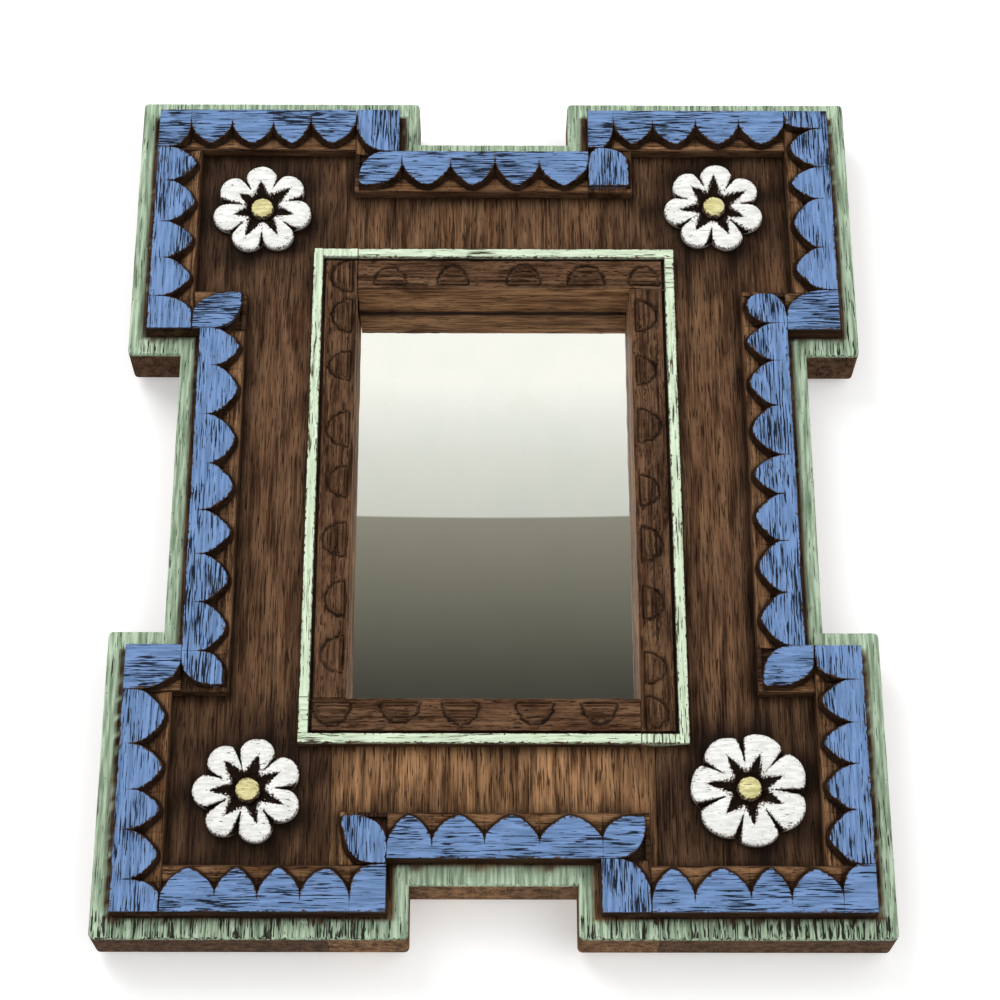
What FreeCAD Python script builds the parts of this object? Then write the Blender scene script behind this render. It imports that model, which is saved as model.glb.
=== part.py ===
"""Carved folk wall mirror with a scalloped border, applied rosettes and a deep-set glass.

X runs to the viewer's right, Z runs up and the carved front faces -Y. The backs of the boards lie in
the plane Y = 0, and the origin lies in that plane at the height where a wall hook carries the ring.
Shapes are drawn about the middle of the mirror, with depths counted forwards from the back plane, and
the whole mirror is lowered to the hook at the end.
"""
import math
import os

import FreeCAD
import Part

# Board panel, edge-glued from two full-height stiles and two short boards
overall_width = 360.0
overall_height = 438.0
board_thickness = 26.0
corner_block_width = 142.0
corner_block_height = 146.0
side_notch_depth = 26.0
end_notch_depth = 24.5
block_corner_radius = 2.5
dowel_diameter = 8.0
dowel_length = 40.0
dowel_place_shares = (0.25, 0.72)

# Scalloped border strips, laid round the panel behind a plain ledge
ledge_width = 10.0
strip_width = 22.0
strip_base_height = 6.0
strip_height = 9.5
lobe_margin = 2.0
notch_tip_inset = 8.5
leaf_straight = 5.0
leaf_corner_radius = 2.0

# Places of the carved notches along each long strip, as shares of that strip's length
top_left_top_tip_shares = (0.16, 0.37, 0.58, 0.77)
top_middle_tip_shares = (0.20, 0.41, 0.60, 0.79)
top_right_top_tip_shares = (0.13, 0.33, 0.55, 0.77)
top_right_side_tip_shares = (0.10, 0.32, 0.50, 0.77)
right_middle_tip_shares = (0.10, 0.21, 0.34, 0.48, 0.59, 0.72, 0.86)
bottom_right_side_tip_shares = (0.16, 0.36, 0.55, 0.76)
bottom_right_bottom_tip_shares = (0.15, 0.38, 0.56, 0.81)
bottom_middle_tip_shares = (0.18, 0.42, 0.63, 0.83)
bottom_left_bottom_tip_shares = (0.16, 0.38, 0.57, 0.76)
bottom_left_side_tip_shares = (0.14, 0.36, 0.54, 0.75)
left_middle_tip_shares = (0.10, 0.23, 0.36, 0.48, 0.61, 0.75, 0.89)
top_left_side_tip_shares = (0.17, 0.38, 0.58, 0.81)

# Liner, an L-section frame of four members that lines the window and laps onto the panel
side_field_width = 32.5
end_field_width = 33.0
liner_face_width = 22.0
liner_leg_thickness = 6.5
liner_band_height = 5.0
liner_fillet_width = 4.6
liner_fillet_height = 6.2
liner_groove_width = 1.6
liner_groove_depth = 1.8
pad_length = 16.0
pad_width = 9.5
pad_height = 0.8
pad_setback = 2.6

# Places of the carved half-discs along each liner member, as shares of the sight edge from its butt end
left_pad_shares = (0.10, 0.23, 0.37, 0.51, 0.64, 0.80, 0.93)
top_pad_shares = (0.12, 0.35, 0.61, 0.84)
right_pad_shares = (0.07, 0.21, 0.35, 0.51, 0.64, 0.78, 0.93)
bottom_pad_shares = (0.14, 0.36, 0.61, 0.82)

# Mirror glass, backing board and the brads that hold them in the window
glass_thickness = 2.5
backing_thickness = 2.5
backing_inset = 2.0
brad_diameter = 1.2
brad_length = 14.0
brad_depth_in_wood = 7.0
side_brad_shares = (0.14, 0.50, 0.86)
end_brad_shares = (0.22, 0.78)

# Rosettes, one in each corner block
top_left_rosette_side_inset = 63.5
top_left_rosette_end_inset = 65.5
top_right_rosette_side_inset = 69.0
top_right_rosette_end_inset = 64.0
bottom_left_rosette_side_inset = 68.5
bottom_left_rosette_end_inset = 67.5
bottom_right_rosette_side_inset = 64.0
bottom_right_rosette_end_inset = 68.5
small_rosette_diameter = 50.0
large_rosette_diameter = 54.0
rosette_edge_height = 3.6
rosette_crown_height = 5.4
rosette_heart_height = 3.2
petal_count = 7
petal_radius_share = 0.33
petal_groove_width = 4.6
petal_groove_depth = 2.6
ray_width = 4.2
ray_depth = 2.4
button_diameter = 11.0
button_height = 6.4
button_crown = 1.2
moat_width = 2.2

# Turn of each hand-cut rosette, in degrees anticlockwise
top_left_rosette_turn = 93.0
top_right_rosette_turn = 136.0
bottom_left_rosette_turn = 78.0
bottom_right_rosette_turn = 124.0

# Hanger, a strap with a rolled knuckle that carries a swinging D-ring
strap_length = 30.0
hanger_strap_width = 12.0
strap_thickness = 1.0
wire_diameter = 2.6
ring_width = 20.0
ring_rise = 15.0
ring_corner_radius = 3.0
ring_drop_below_notch = 8.0
screw_diameter = 3.0
screw_length = 14.0
screw_head_diameter = 6.0
screw_head_height = 1.8
first_screw_drop = 11.0
screw_pitch = 12.0

# Clearances and the overrun of cutting tools
joint_gap = 0.2
dowel_clearance = 0.06
dowel_end_room = 0.5
glass_clearance = 0.5
pin_clearance = 0.05
knuckle_clearance = 0.06
overrun = 1.0

# Shares of a corner box that a cubic curve's handles take, for a quarter ellipse and for a slimmer lobe
round_handle_share = 0.5523
lobe_handle_share = 0.42

half_width = overall_width / 2
half_height = overall_height / 2
waist_half_width = half_width - side_notch_depth
block_inner_z = half_height - corner_block_height
notch_half_width = half_width - corner_block_width
notch_floor_z = half_height - end_notch_depth
border_depth = ledge_width + strip_width
sight_half_width = waist_half_width - border_depth - side_field_width - liner_face_width
sight_half_height = notch_floor_z - border_depth - end_field_width - liner_face_width
window_half_width = sight_half_width + liner_leg_thickness
window_half_height = sight_half_height + liner_leg_thickness
liner_half_width = sight_half_width + liner_face_width
liner_half_height = sight_half_height + liner_face_width
glass_back_depth = backing_inset + backing_thickness
glass_front_depth = glass_back_depth + glass_thickness
wire_radius = wire_diameter / 2
knuckle_bore_radius = wire_radius + knuckle_clearance
knuckle_radius = knuckle_bore_radius + strap_thickness
ring_top_z = notch_floor_z - ring_drop_below_notch
knuckle_z = ring_top_z - wire_radius - ring_rise
hook_height = ring_top_z - wire_diameter


def point(x, depth, z):
    """Return a point at a depth counted forwards from the back plane."""
    return FreeCAD.Vector(x, -depth, z)


def block(x_span, depth_span, z_span):
    """Return a box between two values of x, depth and z."""
    size = (x_span[1] - x_span[0], depth_span[1] - depth_span[0], z_span[1] - z_span[0])
    return Part.makeBox(*size, point(x_span[0], depth_span[1], z_span[0]))


def slab(outline, depth_span):
    """Return the solid of a front outline, given as (x, z) corners, between two depths."""
    corners = [point(x, depth_span[0], z) for x, z in outline]
    face = Part.Face(Part.makePolygon(corners + corners[:1]))
    return face.extrude(FreeCAD.Vector(0, depth_span[0] - depth_span[1], 0))


def rounded(board, corners):
    """Return a board with the upright edges at some front (x, z) corners rounded off."""
    edges = []
    for x, z in corners:
        foot = Part.Vertex(point(x, 0, z))
        head = Part.Vertex(point(x, board_thickness, z))
        edges += [edge for edge in board.Edges
                  if edge.distToShape(foot)[0] + edge.distToShape(head)[0] < joint_gap]
    return board.makeFillet(block_corner_radius, edges)


def rod(start, direction, length, radius):
    """Return a cylinder from a start point along a direction."""
    return Part.makeCylinder(radius, length, start, direction)


def quarter_round(start, corner, end, handle_share=round_handle_share):
    """Return a curve from start to end that bulges towards the corner of their box.

    The usual handles draw a quarter of an ellipse, and shorter ones draw a slimmer curve.
    """
    curve = Part.BezierCurve()
    curve.setPoles([start, start + (corner - start) * handle_share,
                    end + (corner - end) * handle_share, end])
    return curve.toShape()


# Board panel
def dowel_places():
    """Return the middle of each dowel: two in each of the four upright glue joints."""
    places = []
    joint_length = half_height - window_half_height
    for side in (-1, 1):
        for end in (-1, 1):
            for share in dowel_place_shares:
                z = end * (window_half_height + share * joint_length)
                places.append(point(side * window_half_width, board_thickness / 2, z))
    return places


def dowel_rod(radius, length):
    """Return the eight dowels, or the bores for them, as one compound."""
    across = FreeCAD.Vector(1, 0, 0)
    return Part.makeCompound([rod(middle - across * (length / 2), across, length, radius)
                              for middle in dowel_places()])


def board_dowels():
    return dowel_rod(dowel_diameter / 2, dowel_length)


def dowel_bores():
    return dowel_rod(dowel_diameter / 2 + dowel_clearance, dowel_length + 2 * dowel_end_room)


def brad_places():
    """Return each brad's point in the wood and the way it runs over the backing board."""
    depth = backing_inset - brad_diameter / 2 - pin_clearance
    places = []
    for side in (-1, 1):
        for share in side_brad_shares:
            z = (2 * share - 1) * window_half_height
            start = point(side * (window_half_width + brad_depth_in_wood), depth, z)
            places.append((start, FreeCAD.Vector(-side, 0, 0)))
        for share in end_brad_shares:
            x = (2 * share - 1) * window_half_width
            start = point(x, depth, side * (window_half_height + brad_depth_in_wood))
            places.append((start, FreeCAD.Vector(0, 0, -side)))
    return places


def backing_brads():
    radius = brad_diameter / 2
    return Part.makeCompound([rod(start, way, brad_length, radius) for start, way in brad_places()])


def brad_bores():
    """Return the pilot holes of the brads, which start in the window wall."""
    radius = brad_diameter / 2 + pin_clearance
    bores = [rod(start - way * pin_clearance, way, brad_length, radius) for start, way in brad_places()]
    return Part.makeCompound(bores)


def stile_board(side):
    """Return the full-height board on one side, with its waist notch cut in the outer edge."""
    outline = [(window_half_width, -half_height), (window_half_width, half_height),
               (half_width, half_height), (half_width, block_inner_z),
               (waist_half_width, block_inner_z), (waist_half_width, -block_inner_z),
               (half_width, -block_inner_z), (half_width, -half_height)]
    board = slab([(side * x, z) for x, z in outline], (0, board_thickness))
    corners = [(side * half_width, z) for z in (half_height, block_inner_z, -block_inner_z, -half_height)]
    return rounded(board, corners).cut(dowel_bores()).cut(brad_bores())


def end_board(end):
    """Return the short board above or below the window, with its notch cut in the outer edge."""
    outline = [(-window_half_width, window_half_height), (window_half_width, window_half_height),
               (window_half_width, half_height), (notch_half_width, half_height),
               (notch_half_width, notch_floor_z), (-notch_half_width, notch_floor_z),
               (-notch_half_width, half_height), (-window_half_width, half_height)]
    board = slab([(x, end * z) for x, z in outline], (0, board_thickness))
    corners = [(x, end * half_height) for x in (-notch_half_width, notch_half_width)]
    return rounded(board, corners).cut(dowel_bores()).cut(brad_bores())


def top_board():
    return end_board(1).cut(screw_bores())


# Scalloped border
def border_corners():
    """Return the border's outer edge as clockwise (x, z, turns_in) corners, from the top left block."""
    x_block = half_width - ledge_width
    x_waist = waist_half_width - ledge_width
    x_notch = notch_half_width + ledge_width
    z_block = half_height - ledge_width
    z_notch = notch_floor_z - ledge_width
    z_inner = block_inner_z + ledge_width
    return [(-x_block, z_block, False), (-x_notch, z_block, False), (-x_notch, z_notch, True),
            (x_notch, z_notch, True), (x_notch, z_block, False), (x_block, z_block, False),
            (x_block, z_inner, False), (x_waist, z_inner, True), (x_waist, -z_inner, True),
            (x_block, -z_inner, False), (x_block, -z_block, False), (x_notch, -z_block, False),
            (x_notch, -z_notch, True), (-x_notch, -z_notch, True), (-x_notch, -z_block, False),
            (-x_block, -z_block, False), (-x_block, -z_inner, False), (-x_waist, -z_inner, True),
            (-x_waist, z_inner, True), (-x_block, z_inner, False)]


border_strips = (
    ("border_top_left_block_top", top_left_top_tip_shares),
    ("border_top_notch_left_return", ()),
    ("border_top_middle", top_middle_tip_shares),
    ("border_top_notch_right_return", ()),
    ("border_top_right_block_top", top_right_top_tip_shares),
    ("border_top_right_block_side", top_right_side_tip_shares),
    ("border_right_notch_upper_return", ()),
    ("border_right_middle", right_middle_tip_shares),
    ("border_right_notch_lower_return", ()),
    ("border_bottom_right_block_side", bottom_right_side_tip_shares),
    ("border_bottom_right_block_bottom", bottom_right_bottom_tip_shares),
    ("border_bottom_notch_right_return", ()),
    ("border_bottom_middle", bottom_middle_tip_shares),
    ("border_bottom_notch_left_return", ()),
    ("border_bottom_left_block_bottom", bottom_left_bottom_tip_shares),
    ("border_bottom_left_block_side", bottom_left_side_tip_shares),
    ("border_left_notch_lower_return", ()),
    ("border_left_middle", left_middle_tip_shares),
    ("border_left_notch_upper_return", ()),
    ("border_top_left_block_side", top_left_side_tip_shares),
)


def lobe_edges(length, start, tip_shares):
    """Return the scalloped inner edge from the strip's far end back to its start.

    Each lobe is half an ellipse between two notch tips. The one at the start is a quarter that stays full.
    """
    reach = strip_width - lobe_margin
    tips = [length * share for share in tip_shares] + [length]
    edges = []
    for near, far in reversed(list(zip(tips[:-1], tips[1:]))):
        top = FreeCAD.Vector((near + far) / 2, reach, 0)
        for tip in (far, near):
            foot = FreeCAD.Vector(tip, notch_tip_inset, 0)
            corner = FreeCAD.Vector(tip, reach, 0)
            ends = (foot, top) if tip == far else (top, foot)
            edges.append(quarter_round(ends[0], corner, ends[1], lobe_handle_share))
    foot = FreeCAD.Vector(tips[0], notch_tip_inset, 0)
    corner = FreeCAD.Vector(tips[0], reach, 0)
    edges.append(quarter_round(foot, corner, FreeCAD.Vector(start, reach, 0)))
    return edges


def leaf_end(reach, outer_start):
    """Return the edges round a leaf's free corner, from its inner side to where its outer side starts."""
    inner = FreeCAD.Vector(lobe_margin + leaf_straight, reach, 0)
    corner = FreeCAD.Vector(lobe_margin, reach, 0)
    on_inner = corner + FreeCAD.Vector(leaf_corner_radius, 0, 0)
    on_end = corner - FreeCAD.Vector(0, leaf_corner_radius, 0)
    end = corner - FreeCAD.Vector(0, leaf_straight, 0)
    outer = FreeCAD.Vector(outer_start, 0, 0)
    return [Part.makeLine(inner, on_inner), quarter_round(on_inner, corner, on_end),
            Part.makeLine(on_end, end), quarter_round(end, FreeCAD.Vector(lobe_margin, 0, 0), outer)]


def border_strip(length, starts_inside, tip_shares):
    """Return a strip along +X from its start, its inner side towards +Y and its carved face towards -Z.

    A strip that starts inside a corner has a scalloped starting end too, so that a leaf fills the corner.
    """
    reach = strip_width - lobe_margin
    outer_start = strip_width - notch_tip_inset if starts_inside else 0
    edges = [Part.makeLine(FreeCAD.Vector(outer_start, 0, 0), FreeCAD.Vector(length, 0, 0)),
             Part.makeLine(FreeCAD.Vector(length, 0, 0), FreeCAD.Vector(length, notch_tip_inset, 0))]
    if starts_inside:
        edges += lobe_edges(length, lobe_margin + leaf_straight, tip_shares)
        edges += leaf_end(reach, outer_start)
    else:
        edges += lobe_edges(length, 0, tip_shares)
        edges.append(Part.makeLine(FreeCAD.Vector(0, reach, 0), FreeCAD.Vector()))
    lobes = Part.Face(Part.Wire(edges)).extrude(FreeCAD.Vector(0, 0, -strip_height))
    base = Part.makeBox(length, strip_width, strip_base_height, FreeCAD.Vector(0, 0, -strip_base_height))
    return base.fuse(lobes).removeSplitter()


def placed_strip(index):
    """Return one border strip in its place: it runs past its first corner and stops short at the next."""
    corners = border_corners()
    x, z, starts_inside = corners[index]
    next_x, next_z, ends_inside = corners[(index + 1) % len(corners)]
    along = FreeCAD.Vector(next_x - x, 0, next_z - z)
    run = along.Length
    along = along.normalize()
    back = strip_width if starts_inside else 0
    short = joint_gap if ends_inside else strip_width + joint_gap
    strip = border_strip(run + back - short, starts_inside, border_strips[index][1])
    inward = FreeCAD.Vector(along.z, 0, -along.x)
    place = FreeCAD.Matrix(along.x, inward.x, 0, 0, 0, 0, 1, 0, along.z, inward.z, 0, 0, 0, 0, 0, 1)
    strip = strip.transformShape(place)
    strip.translate(point(x, board_thickness, z) - along * back)
    return strip


# Liner
def liner_section():
    """Return the L-section as (outwards, depth) corners, counted from the sight edge and the back plane."""
    front = board_thickness + liner_band_height
    groove_floor = front - liner_groove_depth
    fillet_front = board_thickness + liner_fillet_height
    fillet_inner = liner_face_width - liner_fillet_width
    groove_inner = fillet_inner - liner_groove_width
    leg = liner_leg_thickness - joint_gap
    return [(0, glass_front_depth), (leg, glass_front_depth), (leg, board_thickness),
            (liner_face_width, board_thickness), (liner_face_width, fillet_front),
            (fillet_inner, fillet_front), (fillet_inner, groove_floor),
            (groove_inner, groove_floor), (groove_inner, front), (0, front)]


def half_disc_pad(along):
    """Return a low half-disc carved on the band, its flat side towards the sight edge at +Y."""
    front = board_thickness + liner_band_height
    left = FreeCAD.Vector(along - pad_length / 2, pad_setback, front)
    right = FreeCAD.Vector(along + pad_length / 2, pad_setback, front)
    crown = FreeCAD.Vector(along, pad_setback + pad_width, front)
    edges = [Part.makeLine(left, right),
             quarter_round(right, FreeCAD.Vector(right.x, crown.y, front), crown),
             quarter_round(crown, FreeCAD.Vector(left.x, crown.y, front), left)]
    return Part.Face(Part.Wire(edges)).extrude(FreeCAD.Vector(0, 0, pad_height))


def liner_member(sight_half_length, pads):
    """Return a member along +X with its sight edge on Y = 0, outwards towards +Y and its front towards +Z.

    It butts against a neighbour at its negative end and runs on to the outer corner at its positive end,
    where the fillet turns the corner and crosses the member to meet the neighbour's fillet.
    """
    start = -sight_half_length + joint_gap
    corners = [FreeCAD.Vector(start, outwards, depth) for outwards, depth in liner_section()]
    face = Part.Face(Part.makePolygon(corners + corners[:1]))
    member = face.extrude(FreeCAD.Vector(sight_half_length + liner_face_width - start, 0, 0))
    leg_end = sight_half_length + liner_leg_thickness - joint_gap
    beyond_leg = Part.makeBox(liner_face_width, liner_face_width, board_thickness + overrun,
                              FreeCAD.Vector(leg_end, -overrun, -overrun))
    member = member.cut(beyond_leg)
    fillet_start = sight_half_length + liner_face_width - liner_fillet_width
    groove_floor = board_thickness + liner_band_height - liner_groove_depth
    end_groove = Part.makeBox(liner_groove_width, liner_face_width - liner_fillet_width, liner_groove_depth,
                              FreeCAD.Vector(fillet_start - liner_groove_width, 0, groove_floor))
    end_fillet = Part.makeBox(liner_fillet_width, liner_face_width, liner_fillet_height,
                              FreeCAD.Vector(fillet_start, 0, board_thickness))
    member = member.cut(end_groove).fuse(end_fillet)
    for along in pads:
        member = member.fuse(half_disc_pad(along))
    return member.removeSplitter()


def liner(along, outwards, pad_shares):
    """Return a liner member that runs along one direction, with its face outwards along another."""
    upright = abs(along.z) > abs(along.x)
    half_length = sight_half_height if upright else sight_half_width
    reach = sight_half_width if upright else sight_half_height
    pads = [(2 * share - 1) * half_length for share in pad_shares]
    corner_room = liner_face_width - liner_fillet_width - liner_groove_width
    corner_pad = half_length + (corner_room - liner_groove_width) / 2
    member = liner_member(half_length, pads + [corner_pad])
    place = FreeCAD.Matrix(along.x, outwards.x, 0, 0, 0, 0, -1, 0, along.z, outwards.z, 0, 0, 0, 0, 0, 1)
    member = member.transformShape(place)
    member.translate(outwards * reach)
    return member


# Glass and backing
def window_sheet(depth_span):
    """Return a sheet that fills the window with a small clearance."""
    x = window_half_width - glass_clearance
    z = window_half_height - glass_clearance
    return block((-x, x), depth_span, (-z, z))


# Rosettes
def rosette_blank(radius):
    """Return the petalled disc: circles round a ring, cut to a crowned top by a turned profile."""
    petal_radius = radius * petal_radius_share
    ring_radius = radius - petal_radius
    discs = [Part.makeCylinder(ring_radius, button_height)]
    for number in range(petal_count):
        angle = 2 * math.pi * number / petal_count
        centre = FreeCAD.Vector(ring_radius * math.cos(angle), ring_radius * math.sin(angle), 0)
        discs.append(Part.makeCylinder(petal_radius, button_height, centre))
    petals = discs[0].multiFuse(discs[1:]).removeSplitter()
    rim = radius + overrun
    crown = FreeCAD.Vector(ring_radius, 0, rosette_crown_height)
    rim_top = FreeCAD.Vector(rim, 0, rosette_edge_height)
    heart = FreeCAD.Vector(0, 0, rosette_heart_height)
    top = Part.Arc(rim_top, crown, heart).toShape()
    axis_foot = FreeCAD.Vector()
    rim_foot = FreeCAD.Vector(rim, 0, 0)
    foot = [Part.makeLine(heart, axis_foot), Part.makeLine(axis_foot, rim_foot),
            Part.makeLine(rim_foot, rim_top)]
    profile = Part.Face(Part.Wire([top] + foot))
    turned = profile.revolve(FreeCAD.Vector(), FreeCAD.Vector(0, 0, 1), 360)
    return petals.common(turned)


def radial_wedge(inner, outer, width, depth):
    """Return a V-shaped cutter along +X that is widest at its outer end and runs out at its inner end."""
    top = button_height + overrun
    floor = rosette_crown_height - depth
    tip = FreeCAD.Vector(inner, 0, top)
    left = FreeCAD.Vector(outer, width, top)
    right = FreeCAD.Vector(outer, -width, top)
    keel = FreeCAD.Vector(outer, 0, floor)
    faces = [Part.Face(Part.makePolygon([a, b, c, a])) for a, b, c in
             ((tip, left, right), (tip, keel, left), (tip, right, keel), (left, keel, right))]
    return Part.makeSolid(Part.makeShell(faces))


def rosette(diameter, turn):
    """Return a carved rosette whose foot lies on Z = 0, turned anticlockwise by some degrees."""
    radius = diameter / 2
    button_radius = button_diameter / 2
    moat_radius = button_radius + moat_width
    blank = rosette_blank(radius)
    cutters = []
    for number in range(petal_count):
        angle = 360.0 * number / petal_count
        groove = radial_wedge(moat_radius, radius + overrun, petal_groove_width, petal_groove_depth)
        groove.rotate(FreeCAD.Vector(), FreeCAD.Vector(0, 0, 1), angle + 180.0 / petal_count)
        ray = radial_wedge(-radius + moat_radius, -button_radius / 2, ray_width, ray_depth)
        ray.rotate(FreeCAD.Vector(), FreeCAD.Vector(0, 0, 1), angle + 180.0)
        cutters += [groove, ray]
    carved = blank.cut(cutters)
    shank = Part.makeCylinder(button_radius, button_height)
    dome_radius = (button_radius ** 2 + button_crown ** 2) / (2 * button_crown)
    dome = Part.makeSphere(dome_radius, FreeCAD.Vector(0, 0, button_height - dome_radius))
    button = shank.common(dome)
    whole = carved.fuse(button).removeSplitter()
    whole.rotate(FreeCAD.Vector(), FreeCAD.Vector(0, 0, 1), turn)
    return whole


def placed_rosette(x, z, diameter, turn):
    """Return a rosette on the ground of the panel, with its middle at x and z."""
    carved = rosette(diameter, turn)
    carved.rotate(FreeCAD.Vector(), FreeCAD.Vector(1, 0, 0), 90)
    carved.translate(point(x, board_thickness, z))
    return carved


# Hanger on the back of the top board
def screw_heights():
    return (knuckle_z - first_screw_drop, knuckle_z - first_screw_drop - screw_pitch)


def screw_bores():
    """Return the pilot holes in the wood and the holes through the strap."""
    radius = screw_diameter / 2 + pin_clearance
    bores = [rod(point(0, -strap_thickness - overrun, z), FreeCAD.Vector(0, -1, 0),
                 screw_length + overrun + pin_clearance, radius) for z in screw_heights()]
    return Part.makeCompound(bores)


def hanger_strap():
    """Return the strap: a flat leaf on the wood, rolled at the top into a knuckle round the ring's bar."""
    half = hanger_strap_width / 2
    across = FreeCAD.Vector(1, 0, 0)
    leaf = block((-half, half), (-strap_thickness, 0), (knuckle_z - strap_length, knuckle_z))
    start = point(-half, -knuckle_radius, knuckle_z)
    knuckle = rod(start, across, hanger_strap_width, knuckle_radius)
    bore = rod(start - across * overrun, across, hanger_strap_width + 2 * overrun, knuckle_bore_radius)
    return leaf.fuse(knuckle).removeSplitter().cut(bore).cut(screw_bores())


def hanger_ring():
    """Return the D-ring: round wire round a straight bar, two rounded corners and an arch."""
    half = ring_width / 2
    corner = ring_corner_radius
    bar_end = half - corner
    spring = ring_rise - half
    diagonal = corner * math.cos(math.pi / 4)

    def place(x, rise):
        return point(x, -knuckle_radius, knuckle_z + rise)

    bend = bar_end + diagonal
    dip = corner - diagonal
    edges = [Part.LineSegment(place(-bar_end, 0), place(bar_end, 0)),
             Part.Arc(place(bar_end, 0), place(bend, dip), place(half, corner)),
             Part.LineSegment(place(half, corner), place(half, spring)),
             Part.Arc(place(half, spring), place(0, ring_rise), place(-half, spring)),
             Part.LineSegment(place(-half, spring), place(-half, corner)),
             Part.Arc(place(-half, corner), place(-bend, dip), place(-bar_end, 0))]
    path = Part.Wire([edge.toShape() for edge in edges])
    section = Part.Wire(Part.makeCircle(wire_radius, place(-bar_end, 0), FreeCAD.Vector(1, 0, 0)))
    return path.makePipeShell([section], True, False)


def hanger_screws():
    """Return the two wood screws: a domed head on the strap and a pointed shank in the wood."""
    screws = []
    head_radius = screw_head_diameter / 2
    shank_radius = screw_diameter / 2
    for z in screw_heights():
        seat = point(0, -strap_thickness, z)
        inwards = FreeCAD.Vector(0, -1, 0)
        ball_radius = (head_radius ** 2 + screw_head_height ** 2) / (2 * screw_head_height)
        ball = Part.makeSphere(ball_radius, seat - inwards * (screw_head_height - ball_radius))
        head = ball.common(rod(seat, -inwards, screw_head_height, head_radius))
        shank_length = screw_length - shank_radius
        shank = rod(seat, inwards, shank_length, shank_radius)
        nose = Part.makeCone(shank_radius, 0, shank_radius, seat + inwards * shank_length, inwards)
        screws.append(head.multiFuse([shank, nose]).removeSplitter())
    return Part.makeCompound(screws)


def build():
    """Return every piece of the mirror by name."""
    up = FreeCAD.Vector(0, 0, 1)
    right = FreeCAD.Vector(1, 0, 0)
    pieces = {
        "left_stile_board": stile_board(-1),
        "right_stile_board": stile_board(1),
        "top_board": top_board(),
        "bottom_board": end_board(-1),
        "board_dowels": board_dowels(),
        "liner_left": liner(up, -right, left_pad_shares),
        "liner_top": liner(right, up, top_pad_shares),
        "liner_right": liner(-up, right, right_pad_shares),
        "liner_bottom": liner(-right, -up, bottom_pad_shares),
        "mirror_glass": window_sheet((glass_back_depth, glass_front_depth)),
        "backing_board": window_sheet((backing_inset, glass_back_depth)),
        "backing_brads": backing_brads(),
        "rosette_top_left": placed_rosette(
            top_left_rosette_side_inset - half_width, half_height - top_left_rosette_end_inset,
            small_rosette_diameter, top_left_rosette_turn),
        "rosette_top_right": placed_rosette(
            half_width - top_right_rosette_side_inset, half_height - top_right_rosette_end_inset,
            small_rosette_diameter, top_right_rosette_turn),
        "rosette_bottom_left": placed_rosette(
            bottom_left_rosette_side_inset - half_width, bottom_left_rosette_end_inset - half_height,
            small_rosette_diameter, bottom_left_rosette_turn),
        "rosette_bottom_right": placed_rosette(
            half_width - bottom_right_rosette_side_inset, bottom_right_rosette_end_inset - half_height,
            large_rosette_diameter, bottom_right_rosette_turn),
        "hanger_strap": hanger_strap(),
        "hanger_ring": hanger_ring(),
        "hanger_screws": hanger_screws(),
    }
    for index, (name, _) in enumerate(border_strips):
        pieces[name] = placed_strip(index)
    return pieces


os.makedirs("parts", exist_ok=True)
for name, shape in build().items():
    shape.translate(FreeCAD.Vector(0, 0, -hook_height))
    shape.exportStep(os.path.join("parts", name + ".step"))
    print(name, "solids", len(shape.Solids), "volume", round(shape.Volume, 1), "valid", shape.isValid())
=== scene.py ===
# %% [markdown]
# # A carved folk mirror
# The mirror is a notched panel of four boards. Blue scalloped strips run round it, a white rosette sits in
# each corner block, and a painted liner frames a glass that lies deep in the panel. The solids give every
# place and size, so this script reads those and works out the hand-cut surfaces and the worn paint on top of
# them.

# %% Load the frame
import math

import bmesh
import bpy
import numpy as np
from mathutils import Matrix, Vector


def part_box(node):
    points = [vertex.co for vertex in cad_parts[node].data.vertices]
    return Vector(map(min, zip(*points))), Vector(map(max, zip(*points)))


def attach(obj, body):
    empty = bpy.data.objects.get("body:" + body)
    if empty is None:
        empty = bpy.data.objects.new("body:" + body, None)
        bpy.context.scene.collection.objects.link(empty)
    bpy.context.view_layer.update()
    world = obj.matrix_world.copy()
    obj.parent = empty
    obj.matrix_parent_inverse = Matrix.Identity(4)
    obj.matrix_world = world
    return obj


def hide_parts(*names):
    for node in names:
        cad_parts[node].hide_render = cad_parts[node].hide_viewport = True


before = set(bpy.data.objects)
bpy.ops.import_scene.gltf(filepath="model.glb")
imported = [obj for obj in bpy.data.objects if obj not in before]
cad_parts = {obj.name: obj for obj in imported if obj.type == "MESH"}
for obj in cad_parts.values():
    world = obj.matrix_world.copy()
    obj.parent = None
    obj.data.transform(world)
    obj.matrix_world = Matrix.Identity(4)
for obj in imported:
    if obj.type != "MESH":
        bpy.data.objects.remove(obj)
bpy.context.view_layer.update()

# %% [markdown]
# ## Millimetres about the middle
# A carver thinks in millimetres from the middle of the panel, with depth counted forwards from its back. Two
# small helpers turn a box of the frame into that form and turn finished points back into the frame's metres.

# %% Measure the panel
MILLIMETRE = 0.001
stile_low, stile_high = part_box("left_stile_board")
MIDDLE_Z = (stile_low[2] + stile_high[2]) / 2


def panel_box(node):
    """Return a node's (low, high) corners as (x, depth, z) in millimetres about the panel's middle."""
    low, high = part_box(node)
    first = np.array([low[0], -high[1], low[2] - MIDDLE_Z]) / MILLIMETRE
    last = np.array([high[0], -low[1], high[2] - MIDDLE_Z]) / MILLIMETRE
    return first, last


def frame_points(x, depth, z):
    """Turn millimetres about the middle into the frame's metres, one row for each point."""
    flat = [np.ravel(part) for part in np.broadcast_arrays(x, depth, z)]
    return np.column_stack([flat[0], -flat[1], flat[2] + MIDDLE_Z / MILLIMETRE]) * MILLIMETRE


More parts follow.
